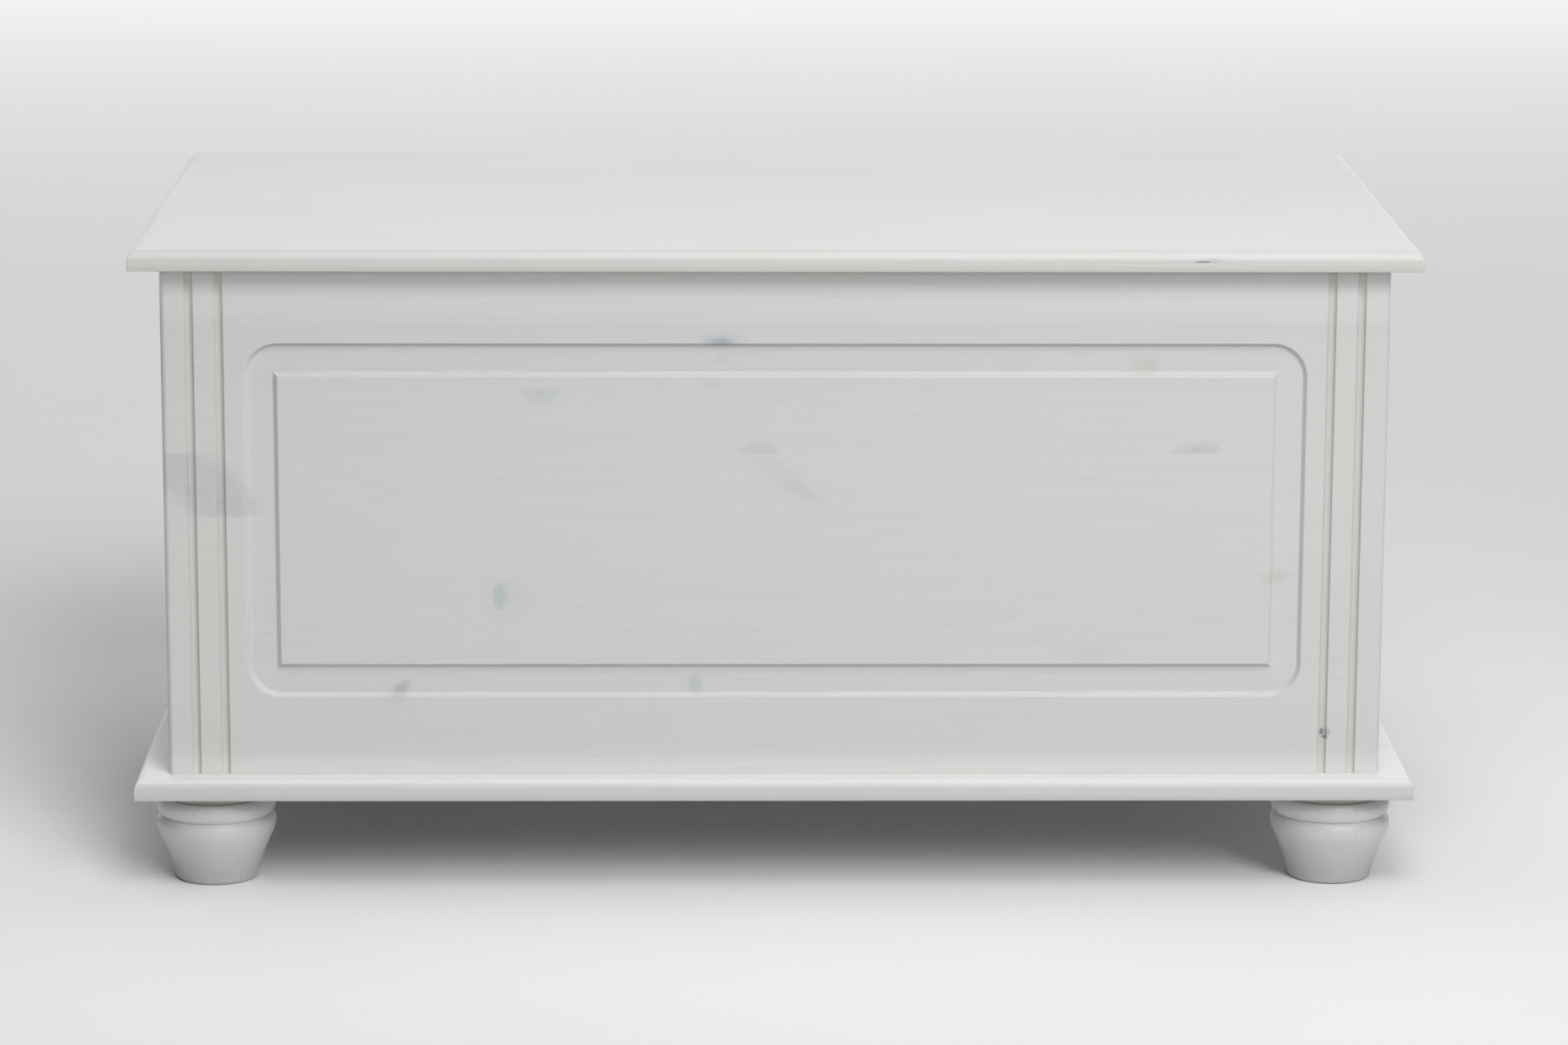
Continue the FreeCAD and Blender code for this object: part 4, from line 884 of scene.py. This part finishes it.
addPiece("lid_board", makeShaped("lid_board", lidBoard, nosed, leafRecesses("lid")), lidPine)
baseSeats = seats(largeScrew, baseScrewPlaces())
addPiece("base_board", makeShaped("base_board", baseBoard, nosed, baseSeats), basePine)
print("lid and base made")
for corner in corners:
    node = corner + "_post"
    addPiece(node, makeShaped(node, postShape, inner, seats(largeScrew, postScrewPlaces(node))), postPine)
for side in sides:
    node = side + "_lid_batten"
    batten = makeShaped(node, battenShape, lower, seats(largeScrew, battenScrewPlaces(node)))
    addPiece(node, batten, battenPine, side + "Batten")
print("posts and battens made")

# Turned feet: a toe, a hollow shank swelling to a bulge, and a bead under the top
foot = {  # places are a radius and a height
    "toeRadius": 33.5, "toeRound": 3.5, "shankRadius": 150, "bulgeFoot": (45.6, 37.6), "bulge": (47.5, 46.3),
    "groove": (43.8, 52.9), "grooveStep": 1, "grooveRise": 0.6, "beadTop": 68, "beadRadius": 11.3,
    "neck": 42, "steps": 96,
}


def arcBetween(first, second, radius, count):  # bulges to the right of the way from first to second
    first, second = Vector(first), Vector(second)
    half = (second - first) / 2
    side = Vector((-half.y, half.x)).normalized() * math.sqrt(radius ** 2 - half.length_squared)
    centre = first + half + (side if radius > 0 else -side)
    begin = first - centre
    sweep = begin.angle_signed(second - centre)
    turns = [Matrix.Rotation(-sweep * step / count, 2) for step in range(count + 1)]
    return [tuple(centre + turn @ begin) for turn in turns]


def standingRadius(widest, other):  # the radius of an arc that is upright where it is widest
    inwards, rise = widest[0] - other[0], widest[1] - other[1]
    return (inwards ** 2 + rise ** 2) / (2 * inwards)


def footProfile(size, height):
    toe = arc((size["toeRadius"] - size["toeRound"], size["toeRound"]), size["toeRound"], -90, 0, 6)
    shank = arcBetween((size["toeRadius"], size["toeRound"]), size["bulgeFoot"], -size["shankRadius"], 16)
    widest = size["bulge"]
    bulge = arcBetween(size["bulgeFoot"], widest, standingRadius(widest, size["bulgeFoot"]), 10)
    bulge += arcBetween(widest, size["groove"], standingRadius(widest, size["groove"]), 12)[1:]
    beadFoot = (size["groove"][0] + size["grooveStep"], size["groove"][1] + size["grooveRise"])
    bead = arcBetween(beadFoot, (beadFoot[0], size["beadTop"]), size["beadRadius"], 16)
    neck = [(size["neck"], size["beadTop"]), (size["neck"], height)]
    outline = [(0, 0), *toe, *shank[1:], *bulge[1:], *bead, *neck, (0, height)]
    return [(radius * mm, z * mm) for radius, z in outline]


for corner in corners:
    low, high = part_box(corner + "_foot")
    bm = turned(footProfile(foot, high.z / mm), foot["steps"])
    moved(bm, Matrix.Translation(((low.x + high.x) / 2, (low.y + high.y) / 2, 0)))
    addPiece(corner + "_foot", bm, footPine, sharp=40)
print("feet made")


# Butt hinges: two leaves with rolled knuckles and a domed pin
def makeLeaf(side):  # the left hinge's leaf, on the lid or the body
    bottom, top = leafLevels(side)
    roll, gap, arris = (leaf[key] * mm for key in ("knuckleRadius", "knuckleGap", "arris"))
    axisY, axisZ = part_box("left_hinge_" + side + "_leaf")[1].y - roll, (boxTop + lidUnder) / 2
    bm = soften(leafPlate("left", side), arris)
    start, end = (corner.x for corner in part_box("left_hinge_body_leaf"))
    pitch = (end - start + gap) / leaf["knuckles"]
    half = (pitch - gap) / 2
    for index in range(1 if side == "lid" else 0, leaf["knuckles"], 2):
        x = start - gap / 2 + (index + 0.5) * pitch
        tab = block((x - half, boxBack - leaf["tabLap"] * mm, bottom), (x + half, axisY, top))
        knuckle = rod((x, axisY, axisZ), sideways, roll, 2 * half, leaf["knuckleSteps"])
        bm = carve(bm, [tab, bevelled(knuckle, arris)], "UNION")
    bore = rod(((start + end) / 2, axisY, axisZ), sideways, leaf["bore"] * mm, 2 * (end - start))
    seam, past = leaf["seam"] * mm / 2, leaf["seamPast"] * mm
    seamY = axisY - roll * leaf["seamShare"]
    seamLow, seamHigh = (bottom - past, bottom) if side == "lid" else (top, top + past)
    slit = block((start - gap, seamY - seam, seamLow), (end + gap, seamY + seam, seamHigh))
    return carve(bm, [bore, slit, *seats(smallScrew, leafScrewPlaces("left", side))])


def makePin():
    low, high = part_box("left_hinge_pin")
    radius = (high.z - low.z) / 2
    centre, half = (low + high) / 2, (high.x - low.x) / 2
    dome = leaf["dome"] * mm
    rise = math.degrees(math.asin(radius / dome))
    top = [(r, z + half - dome) for r, z in arc((0, 0), dome, 90 - rise, 90, 6)]
    bottom = [(r, -z) for r, z in reversed(top)]
    return placed(turned(bottom + top, 32), centre, sideways)


addPair("_hinge_lid_leaf", lambda: makeLeaf("lid"))
addPair("_hinge_body_leaf", lambda: makeLeaf("body"))
addPair("_hinge_pin", makePin)
print("hinges made")

# Lid stays: a slotted arm on a bracket under the lid, led by a pin on the side panel
armShape = {
    "halfWidth": 7.5, "endPlay": 0.6, "endMargin": 8, "slotRadius": 2.8, "holeRadius": 2.58, "arris": 0.35,
    "steps": 48, "cutThicknesses": 4,
}
bracketShape = {
    "thickness": 1.8, "noseRadius": 7, "flangeRound": 4, "flangeSteps": 8, "bendRound": 1.2, "bendSteps": 5,
    "arris": 0.3,
}
rivetShape = {  # a head's outline: shares of its radius, and of its height back from its end
    "shank": 2.5, "head": 0.9, "headShares": ((1, 1), (1, 0.6), (0.86, 0.2), (0.5, 0), (0, 0)),
}
guidePinShape = {
    "shank": 2.5, "head": 1.5,
    "headShares": ((1, 1), (1, 0.45), (0.9, 0.12), (0.75, 0), (0.3, 0), (0, 0.2)),
}


def stayAxes():  # the rivet's and the guide pin's middles, left
    rivet, pin = (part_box("left_stay_" + part) for part in ("rivet", "guide_pin"))
    return (rivet[0] + rivet[1]) / 2, (pin[0] + pin[1]) / 2


def bar(ends, radius, thick, steps=32):  # a flat bar across X, with round ends
    return wrapped([rod(end, sideways, radius, thick, steps) for end in ends])


def makeArm():
    low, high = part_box("left_stay_arm")
    pivot, pin = stayAxes()
    way = Vector((0, pin.y - pivot.y, pin.z - pivot.z))
    closed = way.length
    way.normalize()
    half, play = armShape["halfWidth"] * mm, armShape["endPlay"] * mm
    x, thick = (low.x + high.x) / 2, high.x - low.x
    head = Vector((x, pivot.y, pivot.z))
    reach = (head.z - half - low.z) / -way.z
    slotStart = head + way * (closed - play)
    slotEnd = head + way * (reach + half - armShape["endMargin"] * mm)
    arm = bevelled(bar((head, head + way * reach), half, thick, armShape["steps"]), armShape["arris"] * mm)
    through = armShape["cutThicknesses"] * thick
    slot = bar((slotStart, slotEnd), armShape["slotRadius"] * mm, through)
    return carve(arm, [slot, rod(head, sideways, armShape["holeRadius"] * mm, through)])


def makeStayPlate():
    low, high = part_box("left_stay_plate")
    centre, radius = (low + high) / 2, (high.z - low.z) / 2
    out = (high.y - low.y) / 2 - radius
    ends = [centre + Vector((0, step * out, 0)) for step in (-1, 1)]
    plate = bevelled(bar(ends, radius, high.x - low.x, armShape["steps"]), armShape["arris"] * mm)
    return carve(plate, seats(smallScrew, plateScrewPlaces("left")))


def makeBracket():
    low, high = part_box("left_stay_bracket")
    pivot, _ = stayAxes()
    thick, nose = bracketShape["thickness"] * mm, bracketShape["noseRadius"] * mm
    x = low.x + thick / 2
    ear = wrapped([
        rod((x, pivot.y, low.z + nose), sideways, nose, thick, armShape["steps"]),
        block((low.x, low.y, high.z - thick), (low.x + thick, high.y, high.z)),
    ])
    flange = block((low.x, low.y, high.z - thick), high)
    tips = [e for e in flange.edges if near(middle(e).x, high.x) and near(middle(e).z, high.z - thick / 2)]
    bevel(flange, tips, bracketShape["flangeRound"] * mm, bracketShape["flangeSteps"])
    bracket = carve(ear, [flange], "UNION")
    bend = [
        e for e in bracket.edges
        if near(middle(e).x, low.x) and near(middle(e).z, high.z) and e.is_convex
    ]
    bevel(bracket, bend, bracketShape["bendRound"] * mm, bracketShape["bendSteps"])
    bevelled(bracket, bracketShape["arris"] * mm)
    return carve(bracket, seats(smallScrew, bracketScrewPlaces("left")))


def makeHeaded(part, size, steps=40):  # the rivet has a head at both ends, the guide pin at one
    low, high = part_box("left_stay_" + part)
    radius, half = (high.z - low.z) / 2, (high.x - low.x) / 2
    shank, head = size["shank"] * mm, size["head"] * mm
    top = [(radius * out, half - head * back) for out, back in size["headShares"]]
    bottom = [(r, -z) for r, z in reversed(top)] if part == "rivet" else [(0, -half)]
    bottom.append((shank, bottom[-1][1]))
    return placed(turned([*bottom, (shank, half - head), *top], steps), (low + high) / 2, sideways)


addPair("_stay_arm", makeArm)
addPair("_stay_plate", makeStayPlate)
addPair("_stay_bracket", makeBracket)
addPair("_stay_rivet", lambda: makeHeaded("rivet", rivetShape))
addPair("_stay_guide_pin", lambda: makeHeaded("guide_pin", guidePinShape))
print("lid stays made")

# Every screw, in the groups of the frame
for node, kind, length, places in (
    ("base_screws", largeScrew, 40, [baseScrewPlaces()]),
    ("post_screws", largeScrew, 32, [postScrewPlaces(corner + "_post") for corner in corners]),
    ("batten_screws", largeScrew, 28, [battenScrewPlaces(side + "_lid_batten") for side in sides]),
    ("hinge_body_screws", smallScrew, 13, [leafScrewPlaces(hinge, "body") for hinge in sides]),
    ("hinge_lid_screws", smallScrew, 13, [leafScrewPlaces(hinge, "lid") for hinge in sides]),
    ("stay_plate_screws", smallScrew, 12, [plateScrewPlaces(side) for side in sides]),
    ("stay_bracket_screws", smallScrew, 12, [bracketScrewPlaces(side) for side in sides]),
):
    addPiece(node, driven(kind, length, sum(places, [])))
print("screws driven")

# CAD pieces that keep their shape, all inside the wood
for node in ("panel_dowels", "foot_hanger_bolts", "foot_thread_inserts"):
    for slot in cadNodes[node].material_slots:
        slot.material = finishOf[slotOf[node]]
print("carried-over pieces finished")

# Studio, in metres: a pale floor, soft lamps above and in front, a lit wall and a low key from the right
studioFloor = {
    "size": 60, "cool": (0.905, 0.905, 0.905), "warm": (0.92, 0.92, 0.915), "mottle": ((3, 3, 3), 4.0, 0.6),
    "rough": 0.9, "shine": 0.2,
}
suns = {  # strength, spread, then where from: degrees to the right of the front, and height
    "overhead": {"power": 0.99, "spread": 60, "azimuth": 0, "height": 90},
    "key": {"power": 0.96, "spread": 22, "azimuth": 22, "height": 32},
}
lamps = {  # width and height, where it stands, its watts and where it points
    "frontTop": {"size": (1.2, 1.2), "place": (0.3, -1.6, 2.3), "power": 19.2, "aim": (0, -0.2, 0.3)},
    "rightFill": {"size": (0.7, 0.7), "place": (1.2, -1.8, 1.5), "power": 7.5, "aim": (0, -0.2, 0.3)},
    "litWall": {"size": (14, 4.8), "place": (0, 8, 2.4), "power": 350, "aim": (0, 0, 2.4)},
}


def makeFloor(look):
    material, tree, shader, place = newMaterial("floor")
    colour = blend(tree, noise(tree, place, *look["mottle"]), look["cool"], look["warm"])
    feed(tree, shader, {
        "Base Color": colour, "Roughness": look["rough"], "Specular IOR Level": look["shine"],
    })
    bm = bmesh.new()
    bmesh.ops.create_grid(bm, x_segments=2, y_segments=2, size=look["size"] / 2)
    mesh = meshOf(bm, "floor")
    mesh.materials.append(material)
    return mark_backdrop(newObject("floor", mesh))


def addLamp(name, look):  # a soft box that the camera doesn't see
    light = bpy.data.lights.new(name, "AREA")
    light.energy = look["power"]
    light.shape = "ELLIPSE" if look["size"][0] == look["size"][1] else "RECTANGLE"
    light.size, light.size_y = look["size"]
    lamp = newObject(name, light)
    lamp.location = look["place"]
    away = Vector(look["place"]) - Vector(look["aim"])
    lamp.rotation_euler = away.to_track_quat("Z", "Y").to_euler()
    lamp.visible_camera = False


def addSun(name, look):
    light = bpy.data.lights.new(name, "SUN")
    light.energy = look["power"]
    light.angle = math.radians(look["spread"])
    sun = newObject(name, light)
    sun.rotation_euler = (math.radians(90 - look["height"]), 0, math.radians(look["azimuth"]))


makeFloor(studioFloor)
for name, look in suns.items():
    addSun(name, look)
for name, look in lamps.items():
    addLamp(name, look)
world = bpy.data.worlds.new("studio")
bpy.context.scene.world = world
world.use_nodes = True
world.node_tree.nodes["Background"].inputs["Strength"].default_value = 0.0
bpy.context.scene.view_settings.view_transform = "Standard"

# Camera where the photograph was taken from
view = {
    "place": (-0.062, -4.3727, 1.1726), "yaw": 0.954, "pitch": 12.018, "roll": 0.2,
    "lens": 123.66, "sensor": 36, "nearest": 0.1, "farthest": 100,
}


def addCamera(look):
    lens = bpy.data.cameras.new("camera")
    lens.lens = look["lens"]
    lens.sensor_width = look["sensor"]
    lens.clip_start = look["nearest"]
    lens.clip_end = look["farthest"]
    camera = newObject("camera", lens)
    turn = (
        Matrix.Rotation(-math.radians(look["yaw"]), 4, "Z")
        @ Matrix.Rotation(math.radians(90 - look["pitch"]), 4, "X")
        @ Matrix.Rotation(math.radians(look["roll"]), 4, "Z")
    )
    camera.matrix_world = Matrix.Translation(look["place"]) @ turn
    bpy.context.scene.camera = camera


addCamera(view)
print("studio and camera made")
